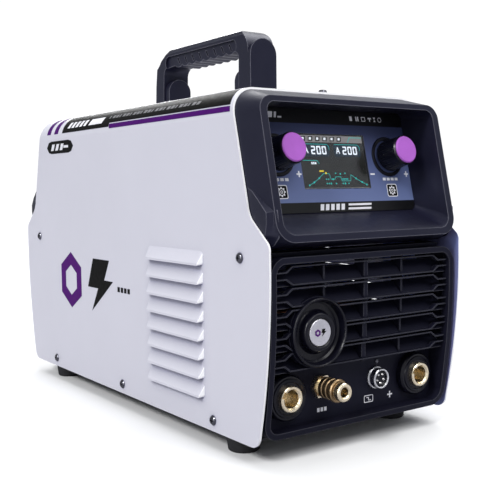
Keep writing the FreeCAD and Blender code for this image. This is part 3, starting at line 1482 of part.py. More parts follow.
def make_mains_lead():
    """The cable gland and the stub of mains lead that leaves it."""
    x = D["gland_x"]
    height = D["gland_height"]
    gland = turned("cable_gland", [
        (5.0, -16.0), (8.0, -16.0), (8.0, 0.0), (10.5, 0.0), (10.5, 1.6), (9.2, 1.6), (9.2, 11.0),
        (8.0, 14.0), (6.4, 15.6), (5.0, 15.6),
    ])
    collar = outline(new_sketch(gland, "gland_hex_sketch", "XY_Plane", 1.6), hexagon(11.6))
    circle(collar, 0.0, 0.0, 6.0)
    pad(gland, "gland_hex", collar, 6.0)
    node(on_rear(gland, x, height), "cable_gland")
    lead = new_body("mains_lead")
    path = new_sketch(lead, "lead_path", "YZ_Plane")
    path.addGeometry(Part.LineSegment(Vector(0, -40, 0), Vector(0, 17, 0)), False)
    path.addGeometry(arc_between((0.0, 17.0), (20.0, 37.0), -20.0), False)
    path.addGeometry(Part.LineSegment(Vector(20, 37, 0), Vector(82, 37, 0)), False)
    ring = circle(new_sketch(lead, "lead_section", "XY_Plane", -40.0), 0.0, 0.0, 4.9)
    pipe = lead.newObject("PartDesign::AdditivePipe", "lead_pipe")
    pipe.Profile = ring
    pipe.Spine = path
    node(on_rear(lead, x, height), "mains_lead")


def make_gas_inlet():
    """Hose tail for the gas supply, screwed through the rear moulding."""
    x = D["inlet_x"]
    z = D["gas_height"]
    y = bow(z, D["grille_depth"]) + 1.4
    inlet = turned("gas_inlet", [
        (2.2, -22.0), (3.4, -22.0), (4.2, -18.0), (3.4, -18.0), (4.2, -14.0), (5.0, -14.0), (5.0, 0.0),
        (7.0, 4.8), (4.0, 6.0), (4.0, 16.0), (3.3, 16.6), (4.0, 19.0), (3.3, 19.6), (4.0, 22.0), (3.3, 22.6),
        (3.6, 26.0), (2.2, 26.0),
    ])
    hexa = outline(new_sketch(inlet, "gas_inlet_hex_sketch", "XY_Plane"), hexagon(8.6))
    circle(hexa, 0.0, 0.0, 3.0)
    pad(inlet, "gas_inlet_hex", hexa, 4.8)
    node(behind(inlet, x, z, y), "gas_inlet")


# --------------------------------------------------------------------------------------------------
# Inside the case: inverter stack, coils and gas path
# --------------------------------------------------------------------------------------------------


def make_heatsinks():
    """Two extruded heatsinks, fins down, running front to back on the base pan."""
    base = D["pan_height"] + D["sheet"]
    tall = D["heatsink_height"]
    sinks = []
    for hand in (-1, 1):
        middle = hand * 48.0
        points = [(middle - 30.0, base), (middle - 27.6, base)]
        for fin in range(1, 9):
            left = middle - 30.0 + fin * 7.2
            points += [(left - 4.8, base + tall - 6.0), (left, base + tall - 6.0), (left, base + 4.0),
                       (left + 2.4, base + 4.0)]
        points = points[:-2] + [(middle + 27.6, base), (middle + 30.0, base), (middle + 30.0, base + tall),
                                (middle - 30.0, base + tall)]
        body = new_body(f"heatsink_{hand + 1}")
        profile = outline(new_sketch(body, f"heatsink_profile_{hand + 1}", "XZ_Plane"), points)
        pad(body, f"heatsink_bar_{hand + 1}", profile, 190.0, both=True)
        place(body, 0.0, 10.0, 0.0)
        sinks.append(body)
    node(group("heatsinks", sinks), "heatsinks")


def make_power_board():
    """The main circuit board on its posts, the power transistors under it and the capacitors on it."""
    low = D["board_height"]
    board = new_body("power_board")
    profile = new_sketch(board, "power_board_profile", "XY_Plane", low)
    outline(profile, round_box(-84.0, -112.0, 84.0, 132.0, 3.0))
    for x in (-79.0, 79.0):
        for y in (-104.0, 124.0):
            circle(profile, x, y, 2.1)
    pad(board, "power_board_plate", profile, 1.6)
    node(board, "power_board")
    make_power_transistors(low)
    posts = []
    for x in (-79.0, 79.0):
        for y in (-104.0, 124.0):
            post = turned(f"post_{x:.0f}_{y:.0f}", [
                (0.0, 0.0), (4.0, 0.0), (4.0, low - D["pan_height"] - D["sheet"]),
                (2.0, low - D["pan_height"] - D["sheet"]), (2.0, low - D["pan_height"] + 4.0),
                (0.0, low - D["pan_height"] + 4.0),
            ], x, y, D["pan_height"] + D["sheet"])
            posts.append(post)
    node(group("board_posts", posts), "board_posts")
    cans = []
    for number, y in enumerate((-6.0, 34.0, 74.0)):
        can = turned(f"bus_capacitor_{number}", [
            (0.0, 0.0), (15.0, 0.0), (17.5, 1.2), (17.5, 4.0), (16.7, 5.0), (17.5, 6.0), (17.5, 48.8),
            (16.3, 50.0), (14.5, 50.0), (14.5, 49.0), (0.0, 49.0),
        ], -54.0, y, low + 1.6)
        cans.append(can)
    node(group("bus_capacitors", cans), "bus_capacitors")


def make_power_transistors(board_low):
    """Ten transistors clamped to the heatsinks, each with three legs up to the board."""
    low = D["pan_height"] + D["sheet"] + D["heatsink_height"]
    transistors = []
    for hand in (-1, 1):
        x = hand * 48.0
        for number in range(5):
            y = -60.0 + 36.0 * number
            name = f"{hand + 1}_{number}"
            parts = [block(f"case_{name}", x - 8.0, y - 10.5, low, x + 8.0, y + 10.5, low + 5.0)]
            for leg in (-1, 0, 1):
                near = x + 5.45 * leg - 0.6
                label = f"leg_{name}_{leg + 1}"
                parts.append(block(label, near, y - 12.0, low + 2.2, near + 1.2, y - 10.4, board_low))
            transistors.append(fuse(f"transistor_{name}", parts))
    node(group("power_transistors", transistors), "power_transistors")


def make_transformer():
    """A ferrite core with two windows and the ribbed winding round its middle leg."""
    low = D["board_height"] + 1.6
    y = 30.0
    x = 34.0
    core = new_body("transformer_core")
    face = outline(new_sketch(core, "transformer_core_face", "XZ_Plane"), [
        (x - 40.0, low), (x + 40.0, low), (x + 40.0, low + 62.0), (x - 40.0, low + 62.0),
    ])
    for near in (x - 29.0, x + 10.0):
        far = near + 19.0
        outline(face, [(near, low + 10.0), (near, low + 52.0), (far, low + 52.0), (far, low + 10.0)])
    pad(core, "transformer_core_stack", face, 38.0, both=True)
    node(place(core, 0.0, y, 0.0), "transformer_core")
    winding = new_body("transformer_winding")
    ring = outline(new_sketch(winding, "winding_ring", "XY_Plane", low + 11.0),
                   round_box(x - 27.5, y - 37.0, x + 27.5, y + 37.0, 12.0))
    outline(ring, [(x - 10.5, y - 19.5), (x - 10.5, y + 19.5), (x + 10.5, y + 19.5), (x + 10.5, y - 19.5)])
    pad(winding, "winding_block", ring, 40.0)
    for number in range(1, 6):
        groove = new_sketch(winding, f"winding_groove_{number}", "XY_Plane", low + 11.0 + 6.6 * number)
        outline(groove, round_box(x - 30.0, y - 40.0, x + 30.0, y + 40.0, 12.0))
        outline(groove, round_box(x - 26.7, y - 36.2, x + 26.7, y + 36.2, 11.2))
        pocket(winding, f"winding_cut_{number}", groove, 0.8)
    node(winding, "transformer_winding")


def make_coils():
    """The output choke and the high-frequency starting coil, both bare spring-like windings."""
    for label, x, low, radius, wire, pitch, height in (
        ("output_choke", 24.0, 62.0, 22.0, 3.2, 8.4, 50.4),
        ("hf_coil", -31.0, 70.0, 13.0, 2.2, 6.2, 37.2),
    ):
        body = new_body(label)
        sketch = new_sketch(body, f"{label}_wire", "XZ_Plane")
        circle(sketch, radius, 0.0, wire)
        coil = body.newObject("PartDesign::AdditiveHelix", f"{label}_helix")
        coil.Profile = sketch
        coil.ReferenceAxis = (sketch, ["V_Axis"])
        coil.Mode = 0
        coil.Pitch = pitch
        coil.Height = height
        node(place(body, x, -142.0, low), label)


def make_busbars():
    """A copper link from each socket's rear stud back under the power board."""
    height = D["socket_height"]
    links = []
    for hand in (-1, 1):
        x = hand * D["socket_x"]
        y = -D["pocket_face"] + 24.0
        link = new_body(f"busbar_{hand + 1}")
        side = outline(new_sketch(link, f"busbar_side_{hand + 1}", "YZ_Plane"), [
            (y, height - 11.0), (y + 2.5, height - 11.0), (y + 2.5, height + 22.5), (y + 44.0, height + 22.5),
            (y + 44.0, height + 25.0), (y, height + 25.0),
        ])
        pad(link, f"busbar_strip_{hand + 1}", side, 18.0, both=True)
        hole = circle(new_sketch(link, f"busbar_hole_{hand + 1}", "XZ_Plane"), 0.0, height, 5.1)
        pocket(link, f"busbar_drill_{hand + 1}", hole, 400.0, both=True)
        links.append(place(link, x, 0.0, 0.0))
    node(group("output_busbars", links), "output_busbars")


def tube(label, route, radius, bore):
    """A hose through the given corners, each corner rounded by overlapping ball joints."""
    outer = []
    inner = []
    for number, (start, end) in enumerate(zip(route, route[1:])):
        run = Vector(*end) - Vector(*start)
        for kind, size, keep in (("wall", radius, outer), ("bore", bore, inner)):
            piece = primitive("Cylinder", f"{label}_{kind}_{number}", {"Radius": size, "Height": run.Length})
            piece.Placement = Placement(Vector(*start), Rotation(Vector(0, 0, 1), run))
            keep.append(piece)
            if number:
                ball = primitive("Sphere", f"{label}_{kind}_turn_{number}", {"Radius": size})
                ball.Placement = Placement(Vector(*start), Rotation())
                keep.append(ball)
    if len(outer) == 1:
        return cut(label, outer[0], inner[0])
    return cut(label, fuse(f"{label}_outside", outer), fuse(f"{label}_inside", inner))


def make_gas_path():
    """The solenoid valve with its plunger, and the hoses from the inlet and on to the front coupler."""
    x = SIZES["inlet_x"]
    z = SIZES["gas_height"]
    valve = new_body("gas_valve_body")
    face = new_sketch(valve, "valve_face", "XZ_Plane")
    outline(face, round_box(x - 7.0, z - 12.0, x + 7.0, z + 12.0, 2.0))
    pad(valve, "valve_block", face, 22.0, both=True)
    way = circle(new_sketch(valve, "valve_way", "XZ_Plane"), x, z, 2.2)
    pocket(valve, "valve_bore", way, both=True)
    coil = circle(new_sketch(valve, "valve_coil_sketch", "XY_Plane", z), x, 0.0, 6.6)
    pad(valve, "valve_coil", coil, 34.0)
    well = circle(new_sketch(valve, "valve_well_sketch", "XY_Plane", z + 30.0), x, 0.0, 3.05)
    pocket(valve, "valve_well", well, 28.0)
    node(place(valve, 0.0, SIZES["valve_y"], 0.0), "gas_valve_body")
    plunger = turned("gas_valve_plunger", [
        (0.0, 0.0), (1.6, 0.0), (1.6, 3.0), (3.0, 3.0), (3.0, 22.0), (0.0, 22.0),
    ], x, SIZES["valve_y"], z + 4.4)
    node(plunger, "gas_valve_plunger")
    valve_y = SIZES["valve_y"]
    turn_y = valve_y - 24.0
    gas_x = SIZES["gas_x"]
    supply = tube("supply_hose", [(x, 193.0, z), (x, valve_y + 11.2, z)], 5.8, 4.3)
    feed = tube("feed_hose", [
        (x, valve_y - 11.2, z), (x, turn_y, z), (0.0, turn_y, z), (0.0, -108.0, z), (gas_x, -128.0, z),
        (gas_x, -165.0, z),
    ], 5.8, 4.3)
    node(group("gas_hoses", [supply, feed]), "gas_hoses")


# --------------------------------------------------------------------------------------------------
# Build, check and export
# --------------------------------------------------------------------------------------------------


def build_all():
    make_cover()
    make_front_frame()
    make_handle()
    make_display_hood()
    make_overlay_and_display()
    make_knob(-1, "left")
    make_knob(1, "right")
    make_front_fixings()
    make_badge()
    make_base_pan()
    make_feet()
    make_screws()
    make_rear_panel()
    make_fan()
    make_switch()
    make_mains_lead()
    make_gas_inlet()
    make_heatsinks()
    make_power_board()
    make_transformer()
    make_coils()
    make_busbars()
    make_gas_path()


def check_all():
    for thing in doc.Objects:
        if "Invalid" in thing.State or "Error" in thing.State:
            raise RuntimeError(f"{thing.Name} did not build")
    for thing in NODES:
        if thing.Shape.isNull() or not thing.Shape.isValid():
            raise RuntimeError(f"{thing.Label} has no valid shape")


def export_all():
    """Writes every node with the origin moved to the middle of the whole machine's footprint."""
    os.makedirs("parts", exist_ok=True)
    to_middle = Vector(0.0, -SIZES["footprint_middle_y"], 0.0)
    for thing in NODES:
        shape = thing.Shape.copy()
        shape.translate(to_middle)
        shape.exportStep(f"parts/{thing.Label}.step")


build_all()
doc.recompute()
check_all()
export_all()
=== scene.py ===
import json
import math

import bmesh
import bpy
from mathutils import Matrix, Vector


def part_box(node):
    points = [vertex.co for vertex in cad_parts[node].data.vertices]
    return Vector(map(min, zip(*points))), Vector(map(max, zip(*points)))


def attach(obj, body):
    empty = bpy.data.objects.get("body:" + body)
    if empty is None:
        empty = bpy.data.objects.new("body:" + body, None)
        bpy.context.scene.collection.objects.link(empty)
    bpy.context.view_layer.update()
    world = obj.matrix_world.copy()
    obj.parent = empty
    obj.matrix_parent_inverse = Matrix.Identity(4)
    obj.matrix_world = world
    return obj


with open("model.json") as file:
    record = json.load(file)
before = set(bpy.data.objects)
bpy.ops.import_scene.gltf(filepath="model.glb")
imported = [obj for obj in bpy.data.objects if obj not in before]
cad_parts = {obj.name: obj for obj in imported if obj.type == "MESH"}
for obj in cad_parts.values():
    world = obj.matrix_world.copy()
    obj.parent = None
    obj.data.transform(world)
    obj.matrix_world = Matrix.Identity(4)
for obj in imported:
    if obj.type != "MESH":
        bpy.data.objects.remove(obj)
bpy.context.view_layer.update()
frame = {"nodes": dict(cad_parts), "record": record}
NODES = frame["nodes"]


# ---------------------------------------------------------------------------
# Sizes, in millimetres and in the frame of the CAD parts
# ---------------------------------------------------------------------------

MM = 0.001
COVER_LOW, COVER_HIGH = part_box("cover")
MIDDLE = (COVER_LOW[1] + COVER_HIGH[1]) / 2 / MM
SKIN = 95.0              # half the cover's width
INNER_SHADE_DEPTH = 1.2       # how far under the skin the painted blue shade of the inner faces starts; the sheet is 1.5 thick
ROLL = 21.0              # radius of the cover's rolled top edges
ROLL_BASE = 247.0        # height at which the roll starts
COVER_TOP = ROLL_BASE + ROLL
PANEL_TILT = math.radians(13.2)
PANEL_Y = -178.0         # the control panel's mounting plane at the height PANEL_Z, from the cover's middle
PANEL_Z = 215.0
PANEL_LOW = 176.7        # the overlay film's lower and upper edge
PANEL_HIGH = 255.6
FILM = 0.82              # ahead of the mounting plane, and 0.02 ahead of the film's own face
PICTURE = -1.16          # the display's picture, behind that plane
BAY_Y = -196.0           # the connector bay's face, from the cover's middle
KNOB_X = 56.0


# ---------------------------------------------------------------------------
# Materials
# ---------------------------------------------------------------------------


class Nodes:
    """A material's node tree with short calls for adding and joining nodes."""

    def __init__(self, name):
        self.material = bpy.data.materials.new(name)
        self.material.use_nodes = True
        self.tree = self.material.node_tree
        self.shader = self.tree.nodes["Principled BSDF"]
        self.out = self.tree.nodes["Material Output"]
        self.coords = self.add("ShaderNodeTexCoord").outputs["Object"]

    def add(self, kind, **inputs):
        node = self.tree.nodes.new(kind)
        for key, value in inputs.items():
            self.put(node.inputs[key.replace("_", " ")], value)
        return node

    def put(self, socket, value):
        if isinstance(value, bpy.types.NodeSocket):
            self.tree.links.new(value, socket)
        else:
            socket.default_value = value

    def set(self, **inputs):
        for key, value in inputs.items():
            self.put(self.shader.inputs[key.replace("_", " ")], value)

    def noise(self, scale, detail=3.0, rough=0.5, stretch=None):
        vector = self.coords
        if stretch:
            vector = self.add("ShaderNodeMapping", Vector=self.coords, Scale=stretch).outputs[0]
        texture = self.add("ShaderNodeTexNoise", Vector=vector, Scale=scale, Detail=detail, Roughness=rough)
        return texture.outputs[0]

    def grain(self, scale):
        return self.add("ShaderNodeTexVoronoi", Vector=self.coords, Scale=scale).outputs["Distance"]

    def spread(self, value, low, high, start=0.3, end=0.7):
        node = self.tree.nodes.new("ShaderNodeMapRange")
        self.put(node.inputs["Value"], value)
        for key, number in (("From Min", start), ("From Max", end), ("To Min", low), ("To Max", high)):
            node.inputs[key].default_value = number
        return node.outputs[0]

    def math(self, operation, a, b):
        node = self.tree.nodes.new("ShaderNodeMath")
        node.operation = operation
        self.put(node.inputs[0], a)
        self.put(node.inputs[1], b)
        return node.outputs[0]

    def mix(self, factor, first, second):
        node = self.tree.nodes.new("ShaderNodeMix")
        node.data_type = "RGBA"
        self.put(node.inputs[0], factor)
        self.put(node.inputs[6], first)
        self.put(node.inputs[7], second)
        return node.outputs[2]

    def axis(self, index):
        return self.add("ShaderNodeSeparateXYZ", Vector=self.coords).outputs[index]

    def edges(self, radius, start=0.015, end=0.16):
        """1 along the outer edges of the mesh within the radius, 0 on flat and hollow places."""
        rounded = self.add("ShaderNodeBevel", Radius=radius)
        rounded.samples = 6
        facing = self.tree.nodes.new("ShaderNodeVectorMath")
        facing.operation = "DOT_PRODUCT"
        self.put(facing.inputs[0], rounded.outputs[0])
        self.put(facing.inputs[1], self.add("ShaderNodeNewGeometry").outputs["Normal"])
        turned = self.math("SUBTRACT", 1.0, facing.outputs["Value"])
        open_side = self.spread(self.openness(radius * 1.6), 0.0, 1.0, 0.86, 0.97)
        return self.math("MULTIPLY", self.spread(turned, 0.0, 1.0, start, end), open_side)

    def openness(self, distance):
        """1 in the open, less in creases narrower than the distance."""
        corner = self.add("ShaderNodeAmbientOcclusion", Distance=distance)
        corner.samples = 6
        return corner.outputs["AO"]

    def bump(self, height, strength, distance=0.0004):
        node = self.add("ShaderNodeBump", Height=height, Strength=strength, Distance=distance)
        self.put(self.shader.inputs["Normal"], node.outputs[0])


def rgb(r, g, b):
    return (r, g, b, 1.0)


def shade(color, factor):
    return tuple(min(1.0, c * factor) for c in color[:3]) + (1.0,)


def painted(name, color, rough=0.36, coat=0.25, peel=0.05):
    m = Nodes(name)
    cloud = m.noise(14.0, 4.0)
    m.set(Base_Color=m.mix(m.spread(cloud, 0.0, 1.0), shade(color, 0.985), shade(color, 1.01)))
    m.set(Roughness=m.spread(m.noise(60.0, 5.0), rough - 0.03, rough + 0.05))
    m.set(Coat_Weight=coat, Coat_Roughness=0.22)
    m.bump(m.noise(900.0, 2.0), peel, 0.00012)
    return m.material


def cover_paint(name, color, inner_shade_color):
    """Semi-gloss powder coat outside, with painted shade in creases and a painted highlight on the cut
    edges; painted blue shade on the inner faces.
    """
    m = Nodes(name)
    cloud = m.noise(14.0, 4.0)
    outside = m.mix(m.spread(cloud, 0.0, 1.0), shade(color, 0.985), shade(color, 1.01))
    # Painted shade: the inner faces get a blue tone for the shade they stand in.
    inner_shade = m.mix(m.spread(cloud, 0.0, 1.0), shade(inner_shade_color, 0.93), shade(inner_shade_color, 1.07))
    away = m.math("ABSOLUTE", m.axis(0), 0.0)
    side = m.math("LESS_THAN", away, (SKIN - INNER_SHADE_DEPTH) * MM)
    height = m.math("LESS_THAN", m.axis(2), (ROLL_BASE - 0.5) * MM)
    faces = m.mix(m.math("MULTIPLY", side, height), outside, inner_shade)
    normal = m.tree.nodes.new("ShaderNodeNewGeometry").outputs["True Normal"]
    lengthwise = m.add("ShaderNodeSeparateXYZ", Vector=normal).outputs[1]
    # Painted highlight: faces turned along the cover, the sheet's cut edges, are painted near white.
    rim = m.math("GREATER_THAN", m.math("ABSOLUTE", lengthwise, 0.0), 0.6)
    # Painted shade: creases, such as the gaps under the louvres, are darkened towards a dark blue.
    shaded = m.mix(m.spread(m.openness(0.011), 0.0, 1.0, 0.50, 0.96), rgb(0.13, 0.13, 0.26), faces)
    m.set(Base_Color=m.mix(rim, shaded, rgb(0.96, 0.96, 0.97)))
    m.set(Roughness=m.spread(m.noise(60.0, 5.0), 0.38, 0.46))
    m.set(Coat_Weight=0.15, Coat_Roughness=0.25)
    m.bump(m.noise(900.0, 2.0), 0.05, 0.00012)
    return m.material


def moulded(name, color, rough=0.42, spark=0.22, specular=0.45, edge_highlight=0.15):
    """Finely grained plastic with a painted highlight on its outer edges."""
    m = Nodes(name)
    cloud = m.noise(22.0, 4.0)
    body = m.mix(m.spread(cloud, 0.0, 1.0), shade(color, 0.9), shade(color, 1.12))
    # Painted highlight: the outer edges are lightened to a bluish grey.
    m.set(Base_Color=m.mix(m.edges(0.0011), body, rgb(edge_highlight, edge_highlight, edge_highlight * 1.2)))
    m.set(Roughness=m.spread(m.noise(110.0, 5.0), rough - 0.04, rough + 0.06))
    m.set(Specular_IOR_Level=specular, Specular_Tint=rgb(0.78, 0.80, 1.0))
    m.bump(m.noise(2600.0, 2.0, 0.6), spark, 0.00012)
    return m.material


def smooth_plastic(name, color, rough=0.28, specular=0.5):
    m = Nodes(name)
    m.set(Base_Color=m.mix(m.spread(m.noise(40.0), 0.0, 1.0), shade(color, 0.92), shade(color, 1.08)))
    m.set(Roughness=m.spread(m.noise(160.0, 5.0), rough - 0.04, rough + 0.05))
    m.set(Specular_IOR_Level=specular)
    m.bump(m.noise(700.0), 0.05, 0.0001)
    return m.material


def metal(name, color, rough=0.22, stretch=(1.0, 1.0, 1.0), scratch=0.12):
    m = Nodes(name)
    m.set(Metallic=1.0)
    m.set(Base_Color=m.mix(m.spread(m.noise(55.0, 4.0), 0.0, 1.0), shade(color, 0.86), shade(color, 1.06)))
    lines = m.noise(900.0, 4.0, 0.6, stretch)
    m.set(Roughness=m.spread(lines, rough - 0.05, rough + 0.12))
    m.bump(lines, scratch, 0.0001)
    return m.material


def rubber(name, color):
    m = Nodes(name)
    m.set(Base_Color=m.mix(m.spread(m.noise(70.0, 5.0), 0.0, 1.0), shade(color, 0.8), shade(color, 1.3)))
    m.set(Roughness=m.spread(m.noise(200.0, 5.0), 0.55, 0.75))
    m.bump(m.noise(1500.0, 3.0), 0.25, 0.00015)
    return m.material


def printed(name, color, rough=0.4):
    """Flat printing ink."""
    m = Nodes(name)
    m.set(Base_Color=m.mix(m.spread(m.noise(90.0, 5.0), 0.0, 1.0), shade(color, 0.95), shade(color, 1.05)))
    m.set(Roughness=m.spread(m.noise(300.0, 4.0), rough - 0.05, rough + 0.05), Specular_IOR_Level=0.05)
    m.bump(m.noise(1100.0), 0.04, 0.0001)
    return m.material


def lit(name, color, strength):
    """A display mark that gives off a little light of its own, uneven from cell to cell."""
    m = Nodes(name)
    cells = m.grain(2600.0)
    glow = m.mix(m.spread(cells, 0.0, 1.0, 0.0, 0.8), color, shade(color, 0.8))
    m.set(Base_Color=shade(color, 0.4), Emission_Color=glow, Emission_Strength=strength, Roughness=0.2)
    return m.material


def overlay_film(name):
    """Printed film: black at the top, then night blue to slate blue, then black again."""
    m = Nodes(name)
    height = m.spread(m.axis(2), 0.0, 1.0, PANEL_LOW * MM, PANEL_HIGH * MM)
    ramp = m.tree.nodes.new("ShaderNodeValToRGB")
    m.put(ramp.inputs[0], height)
    stops = [
        (0.0, (0.002, 0.002, 0.003)), (0.098, (0.002, 0.002, 0.003)), (0.100, (0.13, 0.17, 0.34)),
        (0.40, (0.095, 0.125, 0.27)), (0.75, (0.045, 0.058, 0.15)), (0.852, (0.035, 0.045, 0.11)),
        (0.854, (0.002, 0.002, 0.003)), (1.0, (0.002, 0.002, 0.003)),
    ]
    elements = ramp.color_ramp.elements
    while len(elements) < len(stops):
        elements.new(1.0)
    for element, (place, color) in zip(elements, stops):
        element.position = place
        element.color = color + (1.0,)
    m.set(Base_Color=ramp.outputs[0])
    m.set(Roughness=m.spread(m.noise(350.0, 5.0), 0.34, 0.42), Specular_IOR_Level=0.35)
    m.bump(m.noise(1800.0), 0.08, 0.0001)
    return m.material


def clear(name):
    m = Nodes(name)
    m.set(Base_Color=rgb(0.95, 0.97, 1.0), Transmission_Weight=1.0, IOR=1.3, Specular_IOR_Level=0.25)
    m.set(Roughness=m.spread(m.noise(60.0, 5.0), 0.02, 0.06))
    return m.material


PLASTIC = rgb(0.0078, 0.0079, 0.0190)
MATERIALS = {
    # The second colour is the painted blue shade on the cover's inner faces.
    "cover_paint": cover_paint("cover_paint", rgb(0.655, 0.65, 0.72), rgb(0.24, 0.29, 0.62)),
    "dark_plastic": moulded("dark_plastic", PLASTIC, 0.38, 0.2, 0.34),
    "dark_gloss": smooth_plastic("dark_gloss", rgb(0.0035, 0.0035, 0.0085), 0.3, 0.28),
    "overlay_film": overlay_film("overlay_film"),
    "clear_window": clear("clear_window"),
    "display_grey": smooth_plastic("display_grey", rgb(0.012, 0.012, 0.011), 0.25),
    "board_green": smooth_plastic("board_green", rgb(0.01, 0.09, 0.035), 0.35),
    "purple_cap": smooth_plastic("purple_cap", rgb(0.40, 0.11, 0.53), 0.42, 0.35),
    "steel": metal("steel", rgb(0.62, 0.62, 0.64), 0.3),
    "dark_steel": metal("dark_steel", rgb(0.13, 0.13, 0.15), 0.17),
    "nylon": smooth_plastic("nylon", rgb(0.7, 0.69, 0.64), 0.45),
    "nylon_black": smooth_plastic("nylon_black", rgb(0.012, 0.012, 0.014), 0.4),
    "brass": metal("brass", rgb(0.99, 0.84, 0.62), 0.24, (1.0, 1.0, 1.0), 0.1),
    "bronze": metal("bronze", rgb(0.34, 0.24, 0.14), 0.34),
    "plated": metal("plated", rgb(0.76, 0.76, 0.78), 0.2),
    "silver_pins": metal("silver_pins", rgb(0.85, 0.84, 0.82), 0.2),
    "badge_silver": metal("badge_silver", rgb(0.72, 0.71, 0.76), 0.34),
    "pan_steel": painted("pan_steel", rgb(0.02, 0.02, 0.025), 0.5, 0.0),
    "foot_rubber": rubber("foot_rubber", rgb(0.008, 0.008, 0.010)),
    "lead_rubber": rubber("lead_rubber", rgb(0.010, 0.010, 0.012)),
    "hose_rubber": rubber("hose_rubber", rgb(0.02, 0.02, 0.022)),
    "red_rocker": smooth_plastic("red_rocker", rgb(0.45, 0.02, 0.02), 0.25),
    "aluminium": metal("aluminium", rgb(0.72, 0.73, 0.75), 0.35, (1.0, 0.05, 1.0)),
    "epoxy_black": smooth_plastic("epoxy_black", rgb(0.012, 0.012, 0.012), 0.5),
    "cap_sleeve": smooth_plastic("cap_sleeve", rgb(0.02, 0.03, 0.10), 0.3),
    "ferrite": moulded("ferrite", rgb(0.03, 0.03, 0.03), 0.7),
    "winding_tape": smooth_plastic("winding_tape", rgb(0.65, 0.45, 0.06), 0.4),
    "copper": metal("copper", rgb(0.30, 0.12, 0.06), 0.35),
}
BAND = printed("band_black", rgb(0.0045, 0.0045, 0.004), 0.5)
STRIPE = printed("stripe_purple", rgb(0.062, 0.004, 0.128), 0.5)
WHITE = printed("ink_white", rgb(0.80, 0.80, 0.84), 0.45)
SILVER = printed("ink_grey", rgb(0.20, 0.20, 0.21), 0.45)
LOGO_PURPLE = printed("ink_purple", rgb(0.075, 0.006, 0.145), 0.5)
LCD_WHITE = lit("lcd_white", rgb(0.9, 0.95, 1.0), 1.0)
LCD_TEAL = lit("lcd_teal", rgb(0.02, 0.55, 0.50), 0.7)
LCD_GREY = lit("lcd_grey", rgb(0.36, 0.34, 0.33), 0.5)
LCD_NAVY = lit("lcd_navy", rgb(0.008, 0.03, 0.055), 0.5)
LCD_YELLOW = lit("lcd_yellow", rgb(0.85, 0.65, 0.02), 0.9)
LCD_BACK = lit("lcd_back", rgb(0.020, 0.020, 0.018), 0.6)


# The widest rounding, in metres, that a mesh's edges may get. Blender narrows it to what the shortest edges
# allow, which is far less on every piece but the feet.
BEVELS = {
    "display_hood": 0.0018, "badge_bezel": 0.0002, "rear_panel": 0.0014, "handle": 0.0026,
    "left_knob_cap": 0.0006, "right_knob_cap": 0.0006, "badge_disc": 0.0002,
    "case_screws": 0.0002, "feet": 0.0006, "switch_rocker": 0.0004, "switch_housing": 0.0004,
}


def soften(thing, width):
    """Welds the mesh, rounds its sharp edges as far as the short ones allow and evens out its shading."""
    weld = thing.modifiers.new("weld", "WELD")
    weld.merge_threshold = 0.000002
    bevel = thing.modifiers.new("bevel", "BEVEL")
    bevel.width = width
    bevel.segments = 3
    bevel.limit_method = "ANGLE"
    bevel.angle_limit = math.radians(38)
    normals = thing.modifiers.new("normals", "WEIGHTED_NORMAL")
    normals.keep_sharp = True
    normals.weight = 60


SLOTS = {s["node"]: s["material_slot"] for s in frame["record"]["subparts"]}
# A darker copy of the dark plastic for the front frame: its darker colour is painted shade, and its edges
# get a fainter painted highlight.
SHADED_GRILLE_PLASTIC = moulded("shaded_grille_plastic", shade(PLASTIC, 0.7), 0.55, 0.2, 0.2, 0.065)
for name, thing in NODES.items():
    thing.data.materials.clear()
    thing.data.materials.append(MATERIALS[SLOTS[name]])
    if name in BEVELS:
        soften(thing, BEVELS[name])
NODES["front_frame"].data.materials[0] = SHADED_GRILLE_PLASTIC


# ---------------------------------------------------------------------------
# Printed marks: thin raised shapes lying on the surfaces
# ---------------------------------------------------------------------------


def on_side(hand):
    return lambda u, v, w: Vector((hand * (SKIN + w), MIDDLE + u, v)) * MM


def on_roll(hand):
    """u runs along the cover, v is the way up the side and over the rolled corner."""
    def place(u, v, w):
        if v <= 0:
            return Vector((hand * (SKIN + w), MIDDLE + u, ROLL_BASE + v)) * MM
        angle = v / ROLL
        out = SKIN - ROLL + (ROLL + w) * math.cos(angle)
        return Vector((hand * out, MIDDLE + u, ROLL_BASE + (ROLL + w) * math.sin(angle))) * MM
    return place


def on_panel(u, v, w):
    y = MIDDLE + PANEL_Y + (v - PANEL_Z) * math.tan(PANEL_TILT) - w * math.cos(PANEL_TILT)
    return Vector((u, y, v + w * math.sin(PANEL_TILT))) * MM


def on_bay(u, v, w):
    return Vector((u, MIDDLE + BAY_Y - w, v)) * MM


def make_piece(name, verts, faces, material):
    """A printed piece that rides on the case."""
    mesh = bpy.data.meshes.new(name)
    mesh.from_pydata([tuple(v) for v in verts], [], faces)
    mesh.validate()
    mesh.update()
    for face in mesh.polygons:
        face.use_smooth = False
    mesh.materials.append(material)
    thing = bpy.data.objects.new(name, mesh)
    bpy.context.scene.collection.objects.link(thing)
    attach(thing, "case")
    return thing


def marks(name, shapes, place, material, low=0.03, high=0.15):
    """Each shape is a closed list of (u, v); it becomes a thin solid standing on the surface."""
    verts = []
    faces = []
    for shape in shapes:
        area = sum(a[0] * b[1] - b[0] * a[1] for a, b in zip(shape, shape[1:] + shape[:1]))
        if area < 0:
            shape = shape[::-1]
        base = len(verts)
        count = len(shape)
        verts += [place(u, v, low) for u, v in shape]
        verts += [place(u, v, high) for u, v in shape]
        faces.append([base + count + i for i in range(count)])
        faces.append([base + i for i in reversed(range(count))])
        for i in range(count):
            j = (i + 1) % count
            faces.append([base + i, base + j, base + count + j, base + count + i])
    piece = make_piece(name, verts, faces, material)
    fix_normals(piece)
    return piece


def fix_normals(piece):
    work = bmesh.new()
    work.from_mesh(piece.data)
    bmesh.ops.recalc_face_normals(work, faces=work.faces)
    work.to_mesh(piece.data)
    work.free()


